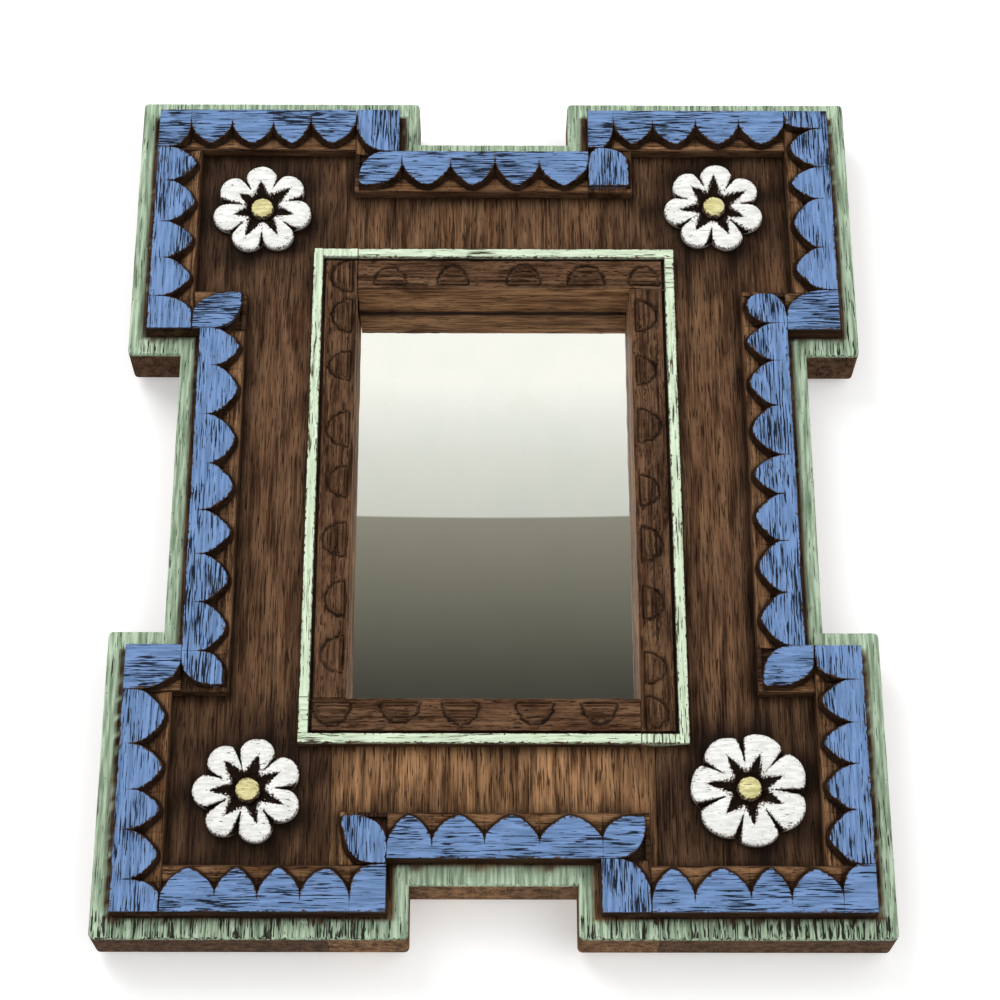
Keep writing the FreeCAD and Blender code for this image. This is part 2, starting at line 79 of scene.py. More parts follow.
stile_first, stile_last = panel_box("left_stile_board")
HALF_WIDTH = -stile_first[0]
HALF_HEIGHT = stile_last[2]
PANEL_FRONT = stile_last[1]
WINDOW_HALF_WIDTH = -stile_last[0]
print("panel", round(2 * HALF_WIDTH, 1), "by", round(2 * HALF_HEIGHT, 1))
print("front at depth", round(PANEL_FRONT, 2))

# %% [markdown]
# ## Hand-made unevenness
# No edge on the real mirror is quite straight. A few sine waves with seeded directions and phases add up to a
# smooth bumpy field, which nudges edges and heights by tenths of a millimetre. It is the same on every run.

# %% Bumpy fields and rounded edges
WAVES_IN_A_FIELD = 8
WAVE_RANGE = (0.6, 1.6)


def ripple(u, v, wavelength, seed):
    """A smooth field of about -1 to 1: a scaled sum of sine waves with seeded ways, lengths and phases."""
    draw = np.random.default_rng(seed)
    total = np.zeros(np.broadcast(u, v).shape)
    for _ in range(WAVES_IN_A_FIELD):
        angle, phase = draw.uniform(0, 2 * math.pi, 2)
        pace = 2 * math.pi / (wavelength * draw.uniform(*WAVE_RANGE))
        total += np.sin((u * math.cos(angle) + v * math.sin(angle)) * pace + phase)
    return total / math.sqrt(2 * WAVES_IN_A_FIELD)


def edge_drop(distance, radius):
    """Drop of a rounded edge: r - sqrt(r^2 - (r - d)^2) within the radius, and nothing beyond it."""
    inside = np.clip(radius - distance, 0, radius)
    return radius - np.sqrt(np.maximum(radius ** 2 - inside ** 2, 0))


def smooth_step(low, high, value):
    """0 below low, 1 above high, and 3t^2 - 2t^3 between them."""
    share = np.clip((value - low) / (high - low), 0, 1)
    return share * share * (3 - 2 * share)


print("field sample", ripple(np.arange(3.0), 0, 40, 1).round(2))

# %% [markdown]
# ## From arrays to a piece
# Every carved piece is a grid of points worked out as whole arrays. The grid's quads come from index
# arithmetic. Rows that meet in a point are welded, and the masks that the finishes need, such as where paint
# lies, are stored on the mesh as attributes. The grain attribute holds each plank's own length, width and
# thickness in millimetres.

# %% Mesh helpers
WELD_DISTANCE = 2e-6
SHARP_ANGLE = math.radians(38)


def grid_quads(rows, columns, wrap_rows=False, wrap_columns=False):
    """Quads of a rows x columns grid of points numbered row by row, closed round where a side wraps."""
    numbers = np.arange(rows * columns).reshape(rows, columns)
    if wrap_rows:
        numbers = np.vstack([numbers, numbers[:1]])
    if wrap_columns:
        numbers = np.hstack([numbers, numbers[:, :1]])
    corners = [numbers[:-1, :-1], numbers[1:, :-1], numbers[1:, 1:], numbers[:-1, 1:]]
    return np.stack([corner.ravel() for corner in corners], axis=1)


def tube_faces(rows, columns):
    """Faces of a section carried along a run: quads that close round the section, and a cap at each end."""
    ring = np.arange(rows) * columns
    caps = [ring.tolist(), (ring + columns - 1)[::-1].tolist()]
    return grid_quads(rows, columns, wrap_rows=True).tolist() + caps


def build_piece(name, points, faces, masks, grain, material, node):
    """Make a closed mesh from points and faces, with masks as attributes, in place of one node."""
    mesh = bpy.data.meshes.new(name)
    mesh.from_pydata(points.tolist(), [], faces)
    for mask, values in masks.items():
        layer = mesh.attributes.new(mask, "FLOAT", "POINT")
        layer.data.foreach_set("value", np.ravel(values).astype(np.float32))
    layer = mesh.attributes.new("grain", "FLOAT_VECTOR", "POINT")
    layer.data.foreach_set("vector", grain.astype(np.float32).ravel())
    shell = bmesh.new()
    shell.from_mesh(mesh)
    bmesh.ops.remove_doubles(shell, verts=shell.verts, dist=WELD_DISTANCE)
    bmesh.ops.dissolve_degenerate(shell, edges=shell.edges, dist=WELD_DISTANCE)
    bmesh.ops.recalc_face_normals(shell, faces=shell.faces)
    open_edges = sum(1 for edge in shell.edges if not edge.is_manifold)
    shell.to_mesh(mesh)
    shell.free()
    mesh.shade_smooth()
    mesh.set_sharp_from_angle(angle=SHARP_ANGLE)
    mesh.materials.append(material)
    piece = bpy.data.objects.new(name, mesh)
    bpy.context.scene.collection.objects.link(piece)
    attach(piece, "frame")
    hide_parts(node)
    print(name, len(mesh.polygons), "faces, open edges", open_edges)
    return piece

# %% [markdown]
# ## Building finishes from nodes
# A finish is a small graph of nodes. One helper makes a node, sets its inputs and links the ones that are
# sockets, so each finish below reads as a list of steps. Colours are written as the eye sees them and turned
# into the linear values that the shaders use.

# %% Node helpers
def paint_colour(red, green, blue):
    """A colour given in display values from 0 to 255, as the linear RGBA of the shaders."""
    display = np.array([red, green, blue]) / 255
    linear = np.where(display <= 0.04045, display / 12.92, ((display + 0.055) / 1.055) ** 2.4)
    return (*linear.tolist(), 1.0)


def add(tree, kind, inputs=None, **settings):
    """Add a node, apply its settings, then set or link its inputs by name or number."""
    made = tree.nodes.new(kind)
    for key, value in settings.items():
        setattr(made, key, value)
    for key, value in (inputs or {}).items():
        socket = made.inputs[key]
        if isinstance(value, bpy.types.NodeSocket):
            tree.links.new(value, socket)
        else:
            socket.default_value = value
    return made


def math_node(tree, operation, first, second=0.0, third=0.0):
    return add(tree, "ShaderNodeMath", {0: first, 1: second, 2: third}, operation=operation).outputs[0]


def mix_colour(tree, share, first, second, blend="MIX"):
    made = add(tree, "ShaderNodeMix", {0: share, 6: first, 7: second}, data_type="RGBA", blend_type=blend)
    return made.outputs[2]


def ramp_value(tree, value, low, high):
    """A value stretched from low..high to 0..1, with smooth ends."""
    made = add(tree, "ShaderNodeMapRange", {"Value": value, "From Min": low, "From Max": high},
               interpolation_type="SMOOTHSTEP")
    return made.outputs["Result"]


def attribute(tree, name, output):
    return add(tree, "ShaderNodeAttribute", attribute_name=name).outputs[output]


def new_group(name, inputs, outputs):
    """Start a shader node group with named sockets and return it with its input and output nodes."""
    group = bpy.data.node_groups.new(name, "ShaderNodeTree")
    for label, kind, value in inputs:
        socket = group.interface.new_socket(label, in_out="INPUT", socket_type=kind)
        if value is not None:
            socket.default_value = value
    for label, kind in outputs:
        group.interface.new_socket(label, in_out="OUTPUT", socket_type=kind)
    return group, group.nodes.new("NodeGroupInput"), group.nodes.new("NodeGroupOutput")


def use_group(tree, group, inputs):
    return add(tree, "ShaderNodeGroup", inputs, node_tree=group).outputs


def new_finish(name):
    """Start a material with an empty graph and return it with its tree and its shader."""
    finish = bpy.data.materials.new(name)
    finish.use_nodes = True
    tree = finish.node_tree
    tree.nodes.clear()
    shader = tree.nodes.new("ShaderNodeBsdfPrincipled")
    output = tree.nodes.new("ShaderNodeOutputMaterial")
    tree.links.new(shader.outputs[0], output.inputs["Surface"])
    return finish, tree, shader


print("node helpers ready")

# %% [markdown]
# ## Streaks along the grain
# Wear, pores and brush marks on this mirror are all short dashes that run along the grain. Noise that is
# stretched along one axis gives such dashes, so one group makes them all: Run is a dash's length and Gauge
# its width, in millimetres, and Share says how much of the surface they take.

# %% Streak group
VECTOR, COLOUR, VALUE = "NodeSocketVector", "NodeSocketColor", "NodeSocketFloat"
STREAK_SHARE = 0.2
STREAK_SOFTNESS = 0.06
# Noise values gather about a half, so a share is spread over the middle of the range
NO_STREAKS_LIMIT = 0.75
LIMIT_SPREAD = 0.5


def make_streak_group():
    """Noise stretched along the grain: Tone is its value, and Mask shows where that passes a limit."""
    group, given, result = new_group(
        "grain_streaks",
        [("Grain", VECTOR, None), ("Run", VALUE, 6.0), ("Gauge", VALUE, 0.4), ("Share", VALUE, STREAK_SHARE),
         ("Softness", VALUE, STREAK_SOFTNESS)],
        [("Mask", VALUE), ("Tone", VALUE)])
    along = math_node(group, "DIVIDE", 1.0, given.outputs["Run"])
    across = math_node(group, "DIVIDE", 1.0, given.outputs["Gauge"])
    pace = add(group, "ShaderNodeCombineXYZ", {0: along, 1: across, 2: across}).outputs[0]
    place = add(group, "ShaderNodeVectorMath", {0: given.outputs["Grain"], 1: pace}, operation="MULTIPLY")
    noise = add(group, "ShaderNodeTexNoise",
                {"Vector": place.outputs[0], "Scale": 1.0, "Detail": 2.0, "Roughness": 0.55})
    tone = noise.outputs["Fac"]
    limit = math_node(group, "MULTIPLY_ADD", given.outputs["Share"], -LIMIT_SPREAD, NO_STREAKS_LIMIT)
    low = math_node(group, "SUBTRACT", limit, given.outputs["Softness"])
    high = math_node(group, "ADD", limit, given.outputs["Softness"])
    group.links.new(ramp_value(group, tone, low, high), result.inputs["Mask"])
    group.links.new(tone, result.inputs["Tone"])
    return group


def streaks(tree, grain, run, gauge, share=STREAK_SHARE, softness=STREAK_SOFTNESS):
    """Place the streak group on a grain and return its outputs."""
    inputs = {"Grain": grain, "Run": run, "Gauge": gauge, "Share": share, "Softness": softness}
    return use_group(tree, grain_streaks, inputs)


grain_streaks = make_streak_group()
print("group", grain_streaks.name)

# %% [markdown]
# ## Open-pored wood
# The boards are a coarse open-grained timber under a dark stain. Broad bands and patches shift the stain,
# fibres streak it and dark pores dash it. The group mixes three colours and gives a relief for the bump.

# %% Wood group
BAND_RANGE = (0.3, 0.7)
MOTTLE_RANGE = (0.32, 0.74)
MOTTLE_SHARE = 0.62
FIBRE_RANGE = (0.42, 0.74)
FIBRE_SHARE = 0.55
PORE_SOFTNESS = 0.035
PORE_SHARE = 0.8
PORE_SHADE = (0.4, 0.4, 0.4, 1.0)


def make_wood_group():
    """Dark to Mid by broad bands, then towards Light by patches and fibres, with dark pores on top."""
    group, given, result = new_group(
        "open_pored_wood",
        [("Grain", VECTOR, None), ("Dark", COLOUR, None), ("Mid", COLOUR, None), ("Light", COLOUR, None),
         ("Pores", VALUE, 0.25)],
        [("Color", COLOUR), ("Relief", VALUE)])
    grain, dark, light = (given.outputs[label] for label in ("Grain", "Dark", "Light"))
    bands = streaks(group, grain, run=120.0, gauge=9.0)["Tone"]
    mottle = streaks(group, grain, run=34.0, gauge=4.5)["Tone"]
    fibres = streaks(group, grain, run=42.0, gauge=1.0)["Tone"]
    pores = streaks(group, grain, 11.0, 0.6, given.outputs["Pores"], PORE_SOFTNESS)["Mask"]
    patchy = math_node(group, "MULTIPLY", ramp_value(group, mottle, *MOTTLE_RANGE), MOTTLE_SHARE)
    streaky = math_node(group, "MULTIPLY", ramp_value(group, fibres, *FIBRE_RANGE), FIBRE_SHARE)
    colour = mix_colour(group, ramp_value(group, bands, *BAND_RANGE), dark, given.outputs["Mid"])
    colour = mix_colour(group, patchy, colour, light)
    colour = mix_colour(group, streaky, colour, light)
    hollow = mix_colour(group, 1.0, dark, PORE_SHADE, "MULTIPLY")
    colour = mix_colour(group, math_node(group, "MULTIPLY", pores, PORE_SHARE), colour, hollow)
    group.links.new(colour, result.inputs["Color"])
    group.links.new(math_node(group, "MULTIPLY_ADD", pores, -1.0, fibres), result.inputs["Relief"])
    return group


def timber(tree, grain, tones, pores):
    """Place the wood group with dark, middle and light tones and return its outputs."""
    inputs = {"Grain": grain, "Dark": tones[0], "Mid": tones[1], "Light": tones[2], "Pores": pores}
    return use_group(tree, open_pored_wood, inputs)


open_pored_wood = make_wood_group()
print("group", open_pored_wood.name)

# %% [markdown]
# ## Worn paint
# The paint is thin. It sinks into the pores, so dark dashes run along the grain, thick in some patches and
# rare in others, with wider cracks where it is most worn, and it is rubbed through in ragged bits along the
# edges. The group turns a plain paint mask into that.

# %% Worn paint group
PATCH_RANGE = (0.32, 0.7)
PATCH_SPREAD = 0.8
PATCH_LEAST = 0.45
MARK_RUN = 13.0
DASH_GAUGE = 0.72
CRACK_GAUGE = 1.5
MARK_SOFTNESS = 0.02
RUB_LIMIT = 0.68
RUB_SOFTNESS = 0.12


def make_worn_paint_group():
    """Cover is the paint less what is rubbed off, Dash the dark marks in it and Tone its brushwork."""
    group, given, result = new_group(
        "worn_paint",
        [("Grain", VECTOR, None), ("Paint", VALUE, 1.0), ("Edge", VALUE, 0.0), ("Dashes", VALUE, 0.3),
         ("Cracks", VALUE, 0.0), ("Rub", VALUE, 0.5)],
        [("Cover", VALUE), ("Dash", VALUE), ("Tone", VALUE)])
    grain = given.outputs["Grain"]
    patches = ramp_value(group, streaks(group, grain, run=34.0, gauge=14.0)["Tone"], *PATCH_RANGE)
    thickness = math_node(group, "MULTIPLY_ADD", patches, PATCH_SPREAD, PATCH_LEAST)
    density = math_node(group, "MULTIPLY", thickness, given.outputs["Dashes"])
    dashes = streaks(group, grain, MARK_RUN, DASH_GAUGE, density, MARK_SOFTNESS)["Mask"]
    cracks = streaks(group, grain, MARK_RUN, CRACK_GAUGE, given.outputs["Cracks"], MARK_SOFTNESS)["Mask"]
    ragged = streaks(group, grain, run=2.2, gauge=1.1)["Tone"]
    reach = math_node(group, "MULTIPLY_ADD", given.outputs["Edge"], given.outputs["Rub"], -RUB_LIMIT)
    rubbed = ramp_value(group, math_node(group, "ADD", reach, ragged), 0.0, RUB_SOFTNESS)
    cover = math_node(group, "MULTIPLY", given.outputs["Paint"], math_node(group, "SUBTRACT", 1.0, rubbed))
    brushed = streaks(group, grain, run=22.0, gauge=1.6)["Tone"]
    group.links.new(cover, result.inputs["Cover"])
    group.links.new(math_node(group, "MAXIMUM", dashes, cracks), result.inputs["Dash"])
    group.links.new(brushed, result.inputs["Tone"])
    return group


worn_paint = make_worn_paint_group()
print("group", worn_paint.name)

# %% [markdown]
# ## The painted wood finishes
# Strips, panel, liner and rosettes share one recipe: wood under a dark stain, darkened further in the
# crevices and beside raised parts by stain and by painted shade, then worn paint over it. They differ in the
# paint's colours and in how much of it is rubbed away.

# %% Finish recipe
WOOD_TONES = (paint_colour(37, 20, 10), paint_colour(72, 46, 29), paint_colour(136, 103, 77))
WARM_TONES = (paint_colour(46, 28, 17), paint_colour(108, 73, 46), paint_colour(218, 167, 119))
WOOD_PORES = 0.34
WOOD_ROUGHNESS = 0.55
WOOD_SHEEN = 0.04
STAIN_AND_SHADE_DARK = paint_colour(20, 12, 8)
STAIN_AND_SHADE_SHARE = 0.92
WORN_DASHES = 0.08
WORN_CRACKS = 0.36
BRUSH_RANGE = (0.3, 0.7)
DASH_SHARE = 0.96
FILM_ROUGHNESS = 0.1
FILM_RELIEF = 0.7


def painted_wood(name, deep, pale, dash, dashes, rub, second=None, toned=WARM_TONES):
    """Stained wood under worn paint that runs from deep to pale, with dashes of a third colour.

    second is another paint, and toned a warmer wood, each laid on by a mask of its own. On the liner's sight
    walls the warmer wood is painted light.
    """
    finish, tree, shader = new_finish(name)
    grain = attribute(tree, "grain", "Vector")
    wood = timber(tree, grain, WOOD_TONES, WOOD_PORES)
    colour = wood["Color"]
    if toned:
        warm = timber(tree, grain, toned, WOOD_PORES)
        colour = mix_colour(tree, attribute(tree, "tone", "Fac"), colour, warm["Color"])
    # Stain and painted shade: the darkening mask mixes the wood towards a near-black brown
    stain = math_node(tree, "MULTIPLY", attribute(tree, "stain_and_shade", "Fac"), STAIN_AND_SHADE_SHARE)
    colour = mix_colour(tree, stain, colour, STAIN_AND_SHADE_DARK)
    wear = attribute(tree, "wear", "Fac")
    coat = use_group(tree, worn_paint, {
        "Grain": grain, "Paint": attribute(tree, "paint", "Fac"), "Edge": attribute(tree, "edge", "Fac"),
        "Dashes": math_node(tree, "MULTIPLY_ADD", wear, WORN_DASHES, dashes),
        "Cracks": math_node(tree, "MULTIPLY", wear, WORN_CRACKS), "Rub": rub})
    shade = ramp_value(tree, coat["Tone"], *BRUSH_RANGE)
    layer = mix_colour(tree, shade, deep, pale)
    if second:
        layer = mix_colour(tree, attribute(tree, "second", "Fac"), layer, mix_colour(tree, shade, *second))
    layer = mix_colour(tree, math_node(tree, "MULTIPLY", coat["Dash"], DASH_SHARE), layer, dash)
    colour = mix_colour(tree, coat["Cover"], colour, layer)
    film = math_node(tree, "MULTIPLY", coat["Cover"], math_node(tree, "SUBTRACT", 1.0, coat["Dash"]))
    relief = math_node(tree, "MULTIPLY_ADD", film, FILM_RELIEF, wood["Relief"])
    rough = math_node(tree, "MULTIPLY_ADD", film, FILM_ROUGHNESS, WOOD_ROUGHNESS)
    bump = add(tree, "ShaderNodeBump", {"Strength": 0.4, "Distance": 0.0003, "Height": relief})
    tree.links.new(colour, shader.inputs["Base Color"])
    tree.links.new(rough, shader.inputs["Roughness"])
    tree.links.new(bump.outputs[0], shader.inputs["Normal"])
    shader.inputs["Specular IOR Level"].default_value = WOOD_SHEEN
    return finish


border_finish = painted_wood(
    "cornflower_strip_paint", deep=paint_colour(96, 124, 164), pale=paint_colour(124, 155, 203),
    dash=paint_colour(22, 24, 33), dashes=0.44, rub=0.46)
panel_finish = painted_wood(
    "stained_panel_and_sage_margin", deep=paint_colour(124, 145, 120), pale=paint_colour(199, 221, 192),
    dash=paint_colour(36, 31, 24), dashes=0.28, rub=0.08)
liner_finish = painted_wood(
    "stained_liner_and_mint_fillet", deep=paint_colour(194, 211, 181), pale=paint_colour(226, 242, 215),
    dash=paint_colour(66, 60, 42), dashes=0.3, rub=0.3)
rosette_finish = painted_wood(
    "white_petal_paint", deep=paint_colour(226, 226, 221), pale=paint_colour(252, 252, 249),
    dash=paint_colour(112, 104, 95), dashes=0.16, rub=0.36,
    second=(paint_colour(196, 188, 132), paint_colour(238, 230, 172)), toned=None)
print("finishes", border_finish.name, panel_finish.name, liner_finish.name, rosette_finish.name)

# %% [markdown]
# ## Scalloped border strips
# Each strip is a stick whose inner edge is chip-carved into lobes. A strip could be cut from a solid, but its
# walls follow the lobes exactly if the grid does: columns crowd towards the notch tips, and every column is a
# section that goes up the outer wall, over the painted top, down the lobe's wall and out over the carved
# floor.

# %% Strip table
strip_first, strip_last = panel_box("border_top_left_block_top")
STRIP_WIDTH = strip_last[2] - strip_first[2]
STRIP_HEIGHT = strip_last[1] - PANEL_FRONT
LOBE_MARGIN = 2.0
TIP_INSET = 7.6
TIP_SPREAD = 1.6
LEAF_STRAIGHT = 5.0
# Forms of a start in an inner corner, each the radius of its free corner
POINTED, ROUNDED, ARCHED = 2.0, 8.0, 1.5
ARCH_RUN = 9.0
ARCH_SIDE = 5.0
LOBE_POWER = 1.45
CORNER_FILL = 6.0
BASE_HEIGHT = 6.0
CHIP_DEPTH = 3.4
TOP_ROUND = 0.7
WALL_RUN = 1.3
LONGEST_WALL = 5.5
END_STEP = 0.04
RIGHT, LEFT, UP, DOWN = (1, 0), (-1, 0), (0, 1), (0, -1)

# Name, way the strip runs, form of a start in an inner corner, and notch tips as shares of its length
strips = (
    ("border_top_left_block_top", RIGHT, None, (0.16, 0.37, 0.58, 0.77)),
    ("border_top_notch_left_return", DOWN, None, ()),
    ("border_top_middle", RIGHT, POINTED, (0.20, 0.41, 0.60, 0.79)),
    ("border_top_notch_right_return", UP, ARCHED, ()),
    ("border_top_right_block_top", RIGHT, None, (0.13, 0.33, 0.55, 0.77)),
    ("border_top_right_block_side", DOWN, None, (0.10, 0.32, 0.50, 0.77)),
    ("border_right_notch_upper_return", LEFT, None, ()),
    ("border_right_middle", DOWN, ROUNDED, (0.10, 0.21, 0.34, 0.48, 0.59, 0.72, 0.86)),
    ("border_right_notch_lower_return", RIGHT, POINTED, ()),
    ("border_bottom_right_block_side", DOWN, None, (0.16, 0.36, 0.55, 0.76)),
    ("border_bottom_right_block_bottom", LEFT, None, (0.15, 0.38, 0.56, 0.81)),
    ("border_bottom_notch_right_return", UP, None, ()),
    ("border_bottom_middle", LEFT, POINTED, (0.18, 0.42, 0.63, 0.83)),
    ("border_bottom_notch_left_return", DOWN, POINTED, ()),
    ("border_bottom_left_block_bottom", LEFT, None, (0.16, 0.38, 0.57, 0.76)),
    ("border_bottom_left_block_side", UP, None, (0.14, 0.36, 0.54, 0.75)),
    ("border_left_notch_lower_return", RIGHT, None, ()),
    ("border_left_middle", UP, POINTED, (0.10, 0.23, 0.36, 0.48, 0.61, 0.75, 0.89)),
    ("border_left_notch_upper_return", LEFT, POINTED, ()),
    ("border_top_left_block_side", UP, None, (0.17, 0.38, 0.58, 0.81)),
)
print("strips", len(strips), "width", round(STRIP_WIDTH, 2), "height", round(STRIP_HEIGHT, 2))

# %% [markdown]
# ### The outline of the painted tops
# A lobe is an arch between two notch tips. The tips lie at uneven places and depths, as a knife leaves them,
# and the columns of the grid crowd towards them. Where a strip starts in an inner corner, its first lobe is a
# leaf.

# %% Strip outline
COLUMNS_PER_LOBE = 28
ROUND_POWER = 2.0
LEAF_END = STRIP_WIDTH - TIP_INSET
LOBE_SPARE = 0.4 * LOBE_MARGIN
WAVER = 0.4
WAVER_LENGTH = 7.0


def strip_columns(length, leaf, full, tips):
    """Places along a strip, crowded towards the notch tips: each lobe is sampled evenly by angle."""
    turn = np.linspace(0, math.pi, COLUMNS_PER_LOBE)
    columns = [full + (tips[0] - full) * np.sin(turn / 2), np.array([0.0, length])]
    for near, far in zip(tips[:-1], tips[1:]):
        columns.append((near + far) / 2 - (far - near) / 2 * np.cos(turn))
    if leaf:
        columns.append(np.array([LOBE_MARGIN - END_STEP, LOBE_MARGIN]))
        columns.append(LOBE_MARGIN + leaf * (1 - np.cos(turn / 2)))
    if leaf and leaf != ARCHED:
        columns.append(LEAF_END - (LEAF_END - LOBE_MARGIN) * np.cos(turn / 2))
    return np.unique(np.concatenate(columns).round(4))


def outer_curve(s, leaf, full):
    """Outer edge of the painted top: straight, or a quarter of an ellipse on a leaf and at an arch's end."""
    if not leaf:
        return np.zeros_like(s)
    if leaf == ARCHED:
        across = np.clip((s - full) / ARCH_RUN, 0, 1)
        curve = ARCH_SIDE
    else:
        across = np.clip((LEAF_END - s) / (LEAF_END - LOBE_MARGIN), 0, 1)
        curve = STRIP_WIDTH - LOBE_MARGIN - LEAF_STRAIGHT - (leaf - POINTED)
    return curve * (1 - np.sqrt(1 - across ** 2))


def strip_outline(length, leaf, tip_shares, seed):
    """Return columns s with the painted top's outer and inner edges, and the notch tips with their insets.

    Each lobe follows |x|^n + |y|^n = 1 between two tips. The first is a quarter of an ellipse that stays full
    at the start, where its blue runs on into the strip that butts against it. A strip that starts in an inner
    corner has a free corner there that is rounded by the leaf's radius. It curves on its outer side too, so
    that it forms a leaf, but an arched one is square there and curves in at its end.
    """
    start = LOBE_MARGIN if leaf else 0.0
    full = start + LEAF_STRAIGHT if leaf else CORNER_FILL
    if leaf == ARCHED:
        full = length - ARCH_RUN
    tips = np.array([length * share for share in tip_shares] + [length])
    draw = np.random.default_rng(seed)
    insets = np.append(TIP_INSET + draw.uniform(-TIP_SPREAD, TIP_SPREAD, len(tips) - 1), TIP_INSET)
    s = strip_columns(length, leaf, full, tips)
    ends = np.append(full, tips)
    lobe = np.clip(np.searchsorted(ends, s, side="right") - 1, 0, len(tips) - 1)
    first = lobe == 0
    near, far = ends[lobe], ends[lobe + 1]
    middle = np.where(first, full, (near + far) / 2)
    half = np.where(first, far - full, (far - near) / 2)
    share = np.clip(np.where(first, s - middle, np.abs(s - middle)) / half, 0, 1)
    power = np.where(first, ROUND_POWER, LOBE_POWER)
    reach = np.where(first & (not leaf), STRIP_WIDTH, STRIP_WIDTH - LOBE_MARGIN)
    inset = np.interp(s, tips, insets)
    inner = inset + (reach - inset) * (1 - share ** power) ** (1 / power)
    outer = outer_curve(s, leaf, full)
    if leaf:
        inner = inner - edge_drop(np.maximum(s - start, 0), leaf)
    waver = np.clip((inner - TIP_INSET) / (STRIP_WIDTH - TIP_INSET), 0, 1)
    inner = np.where(s < start, inner, inner + WAVER * waver * ripple(s, 0, WAVER_LENGTH, seed))
    inner = np.clip(inner, outer, np.minimum(reach + LOBE_SPARE, STRIP_WIDTH - END_STEP))
    return s, outer, inner, tips, insets


print("columns of a short strip", len(strip_outline(100.0, None, (0.2, 0.5), 1)[0]))

# %% [markdown]
# ### From outline to carved strip
# Each column becomes a section: up the outer side, across the painted top, down a sloping wall and out over
# the chip's floor to the strip's inner edge. The masks say where paint stays, where it rubs off, and where
# stain gathers and shade is painted.

# %% Strip surface
STRIP_SIDE, STRIP_TOP, STRIP_WALL, STRIP_FLOOR, STRIP_RIM = range(5)
SIDE_SHARES = np.array([0, 0, 0.45, 0.85, 1, 1, 1])
SIDE_FOOT_SHARES = np.array([0, 0.9, 0.95, 1, 1, 1, 1])
SIDE_RISE_SHARES = np.array([0, 0, 0, 0, 0.1, 0.4, 0.75])
SIDE_CHIP_SHARE = 0.7
TOP_SHARES = np.array([0, 0.015, 0.04, 0.09, 0.18, 0.3, 0.42, 0.54, 0.66, 0.78, 0.88, 0.94, 0.975, 0.99, 1.0])
WALL_SHARES = np.array([0.25, 0.5, 0.75, 1.0])
FLOOR_SHARES = np.array([0.06, 0.15, 0.28, 0.45, 0.65, 0.85])
FLOOR_END = 0.5
RIM_SHARES = np.array([0.3, 1, 1, 1])
RIM_LEVELS = np.array([BASE_HEIGHT - 0.1, BASE_HEIGHT - 0.5, BASE_HEIGHT / 2, 0])
TOP_WAVE = 0.16
TOP_WAVE_LENGTH = 18.0
FLOOR_WAVE = 0.18
FLOOR_WAVE_LENGTH = 4.0
SHORTEST_CUT, LONGEST_CUT = 0.8, 5.0
CUT_GAUGE = 0.32
CUT_FADE = 0.4
CUT_OVERRUN = 0.2
# Darkening by stain and painted shade: on the outer side, the lobe walls, the chip floors by the walls and
# the rim
SIDE_STAIN_AND_SHADE = 0.7
WALL_STAIN_AND_SHADE = 0.85
FLOOR_STAIN_AND_SHADE = 0.9
RIM_STAIN_AND_SHADE = 0.35
EDGE_STAIN_AND_SHADE = 0.8
FLOOR_DARK_REACH = 0.8
EDGE_RUB_REACH = 0.6
FLOOR_WARMTH = 0.48
STRIP_SEED, STRIP_SEED_STEP = 40, 7
STRIP_GRAIN_STEP = (211.0, 37.0)


def steepness(s, t):
    """Length of an edge t(s) for each step along s: sqrt(1 + slope^2), with the steeper of the two slopes."""
    slope = np.abs(np.diff(t) / np.diff(s))
    steeper = np.maximum(np.append(slope[0], slope), np.append(slope, slope[-1]))
    return np.sqrt(1 + steeper ** 2)


def knife_cuts(s, t, tips, insets, seed):
    """Knife cuts past notch tips, dark by stain and painted shade: a narrow bell across s, fading out along
    t.
    """
    draw = np.random.default_rng(seed + 3)
    cuts = np.zeros(t.shape)
    for tip, inset, run in zip(tips[:-1], insets, draw.uniform(SHORTEST_CUT, LONGEST_CUT, len(tips))):
        bell = np.exp(-((s - tip) / CUT_GAUGE) ** 2)
        fade = smooth_step(inset - run, inset - CUT_FADE * run, t)
        cuts = np.maximum(cuts, bell * fade * (t <= inset + CUT_OVERRUN))
    return cuts


def strip_masks(zone, gap, from_wall, bare, kerf):
    """Paint lies on the top alone. Walls are dark with stain and painted shade, and floors palest away from
    them.
    """
    on_top = (zone == STRIP_TOP) & ~bare
    rim_gap = np.full(zone.shape, np.inf)
    rim_gap[zone == STRIP_TOP] = gap.ravel()
    floor_stain_and_shade = FLOOR_STAIN_AND_SHADE * np.exp(-np.maximum(from_wall, 0) / FLOOR_DARK_REACH)
    darkened_zones = [zone == STRIP_SIDE, zone == STRIP_WALL, zone == STRIP_FLOOR, zone == STRIP_RIM]
    stain_and_shade = np.select(darkened_zones, [SIDE_STAIN_AND_SHADE, WALL_STAIN_AND_SHADE, floor_stain_and_shade, RIM_STAIN_AND_SHADE], 0.0)
    edge = np.where(on_top, np.exp(-rim_gap / EDGE_RUB_REACH), zone == STRIP_WALL)
    return {"paint": on_top * (1 - kerf), "edge": edge, "tone": FLOOR_WARMTH * (zone == STRIP_FLOOR),
            "stain_and_shade": np.maximum(stain_and_shade, np.maximum(kerf * on_top, EDGE_STAIN_AND_SHADE * edge))}


